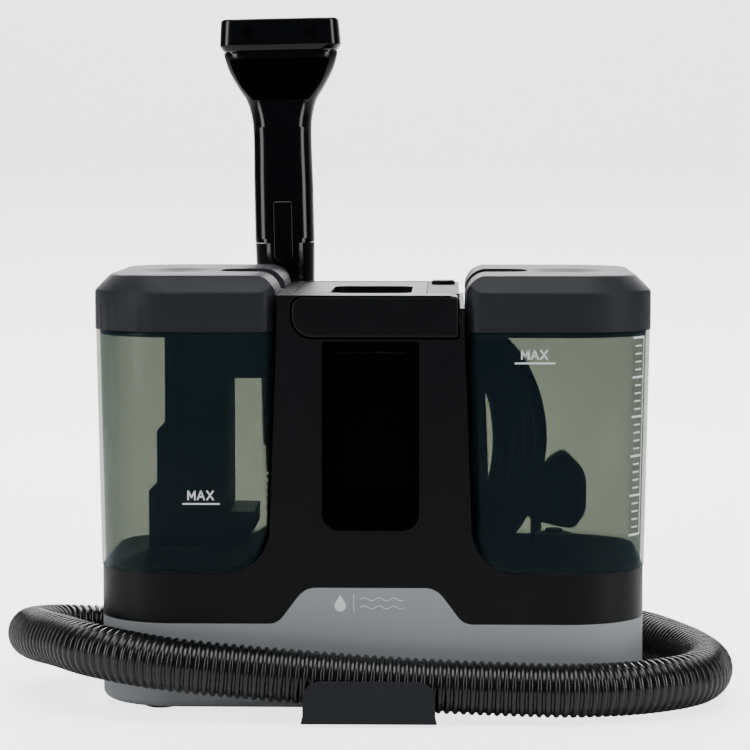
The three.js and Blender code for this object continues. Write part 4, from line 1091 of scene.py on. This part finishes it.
def fill_mark(name, x0, x1, z, node):
    """The word MAX over a line, on the front of a tank."""
    height, narrow, step, lift, width = 5.6, 0.95, 5.9, 2.6, 1.0
    strokes = [stroke((x0, z), (x1, z), width)]
    start = (x0 + x1) / 2 - 1.5 * step + 0.7
    for i, letter in enumerate("MAX"):
        for line in LETTERS[letter]:
            ends = [(start + i * step + u * height * narrow, z + lift + v * height) for u, v in line]
            strokes.append(stroke(*ends, width))
    finish(merged(name, *strokes), name, "print", body=body_of_node(node))


fill_mark("dirty_fill_mark", -118, -94.8, 133.8, "dirty_tank")
fill_mark("clean_fill_mark", 90.4, 115, 222.7, "clean_tank")


def corner_print(name, first, last, steps, low, high):
    """A thin print between two angles round the clean tank's front corner."""
    cx, cy = TANK_OUTER - CORNER, CORNER - HALF_DEPTH
    outside = arc(cx, cy, CORNER + 0.22, first, last, steps)
    inside = arc(cx, cy, CORNER - TOUCH, first, last, steps)
    return prism(name, outside + inside[::-1], low, high)


def level_scale():
    """A scale of plain ticks round the clean tank's front corner."""
    bottom, top, pitch = 112, 238.3, 5
    ticks = []
    for i in range(26):
        first, last, height = (-38, -30, 0.9) if i % 5 else (-41, -27, 1.3)
        z = bottom + pitch * i
        ticks.append(corner_print("tick", first, last, 6, z, z + height))
    scale = merged("scale", *ticks, corner_print("line", -27, -26, 2, bottom, top))
    taper(scale)
    finish(scale, "clean_level_scale", "print", body=body_of_node("clean_tank"))


def drop_icon():
    """A plain water drop, a thin line and two waves on the raised front panel."""
    proud = 0.18
    drop = arc(-19, 69.5, 3.6, -210, 30, 28) + [(-19, 76.6)]
    icon = prism("drop", drop, FRONT - proud, FRONT + TOUCH, "Y")
    strokes = [stroke((-10.5, 65.8), (-10.5, 76.8), 0.4, proud)]
    for level in (68.6, 73.8):
        wave = [(-6 + 0.9 * i, level + 0.9 * sin(i * 0.62)) for i in range(31)]
        strokes += [stroke(a, b, 0.65, proud) for a, b in zip(wave, wave[1:])]
    finish(merged("icon", icon, *strokes), "front_icon", "print", body="machine")


level_scale()
drop_icon()


# ---- parts kept as packed

KEPT = {
    "fan_housing": ("ducting", 0.8), "motor_casing": ("steel", 0.6), "motor_rotor": ("steel", 0.3),
    "motor_mount": ("rubber", 0.6), "inlet_duct": ("ducting", 0.0), "pump_body": ("charcoal", 0.8),
    "pump_plunger": ("steel", 0.4), "control_board": ("board", 0.2), "power_switch": ("charcoal", 0.5),
}
for kept_node, (kept_look, rounding) in KEPT.items():
    kept = frame["nodes"][kept_node]
    kept.data.materials.clear()
    kept.data.materials.append(LOOKS[kept_look][0])
    if rounding:
        kept_bevel = kept.modifiers.new("edge rounding", "BEVEL")
        kept_bevel.width, kept_bevel.segments, kept_bevel.angle_limit = rounding * MM, 2, radians(35)


# ---- studio, in metres

FLOOR_GLOW = 2.6  # light the backdrop adds for the camera only, so that it reads as white
SKY_SEEN, SKY_LIGHT = 3.2, 0.1  # the world's strength as the camera sees it, and as a light
SWEEP_START, SWEEP_RADIUS, SWEEP_TOP, SWEEP_HALF = 1.6, 1.0, 4, 6  # the backdrop curves up behind the object
CAMERA_PLACE, CAMERA_AIM, CAMERA_LENS = (0.050, -1.930, 0.357), (0.0003, 0, 0.2075), 141
LAMPS = {  # place, what it is aimed at, size and power
    "left": ((-1.5, -0.7, 0.75), (0, 0, 0.2), (0.5, 1.3), 16),
    "right": ((1.5, -0.7, 0.75), (0, 0, 0.2), (0.5, 1.3), 16),
    "top": ((0.0, -0.35, 1.5), (0, 0, 0.1), (1.5, 0.9), 26),
    "back": ((0.0, 1.8, 1.2), (0, 0, 0.1), (2.2, 1.2), 60),
}


def backdrop():
    """A pale floor that sweeps up into a wall behind the object."""
    profile = [(-4, 0), (SWEEP_START, 0)]
    for i in range(1, 16):
        a = radians(6 * i)
        profile.append((SWEEP_START + SWEEP_RADIUS * sin(a), SWEEP_RADIUS - SWEEP_RADIUS * cos(a)))
    profile.append((SWEEP_START + SWEEP_RADIUS, SWEEP_TOP))
    verts = [(x / MM, y / MM, z / MM) for y, z in profile for x in (-SWEEP_HALF, SWEEP_HALF)]
    faces = [(2 * i, 2 * i + 1, 2 * i + 3, 2 * i + 2) for i in range(len(profile) - 1)]
    floor = smooth(build("floor", verts, faces), 60)
    n = Nodes(bpy.data.materials.new("pale floor"))
    shade = n.noise(1.5, 3.0, 0.5)
    base = n.blend(n.span(shade, 0.0, 1.0), (0.88, 0.88, 0.88, 1), (0.92, 0.92, 0.92, 1))
    shader = n.add("BsdfPrincipled", Base_Color=base, Roughness=n.span(shade, 0.6, 0.7))
    seen = n.add("LightPath").outputs["Is Camera Ray"]
    dark, bright = n.add("Emission", Strength=0.0), n.add("Emission", Strength=FLOOR_GLOW)
    glow = n.add("MixShader", _0=seen, _1=dark.outputs[0], _2=bright.outputs[0])
    floor.data.materials.append(n.close(n.add("AddShader", _0=shader.outputs[0], _1=glow.outputs[0])))


def world():
    """An even pale surround, bright to the camera and faint as a light."""
    n = Nodes(bpy.data.worlds.new("studio"), "OutputWorld")
    seen = n.add("Background", Color=(1, 1, 1, 1), Strength=SKY_SEEN)
    around = n.add("Background", Color=(0.93, 0.96, 1, 1), Strength=SKY_LIGHT)
    to_camera = n.add("LightPath").outputs["Is Camera Ray"]
    shader = n.add("MixShader", _0=to_camera, _1=around.outputs[0], _2=seen.outputs[0])
    bpy.context.scene.world = n.close(shader)


def aim(made, place, target):
    made.location = place
    made.rotation_euler = (Vector(target) - Vector(place)).to_track_quat("-Z", "Y").to_euler()


def lamps_and_camera():
    for name, (place, target, size, power) in LAMPS.items():
        light = bpy.data.lights.new(name, "AREA")
        light.shape, light.energy = "RECTANGLE", power
        light.size, light.size_y = size
        aim(linked(name, light), place, target)
    lens = bpy.data.cameras.new("camera")
    lens.lens, lens.sensor_width, lens.clip_end = CAMERA_LENS, 36, 60
    camera = linked("camera", lens)
    aim(camera, CAMERA_PLACE, CAMERA_AIM)
    bpy.context.scene.camera = camera


backdrop()
world()
lamps_and_camera()
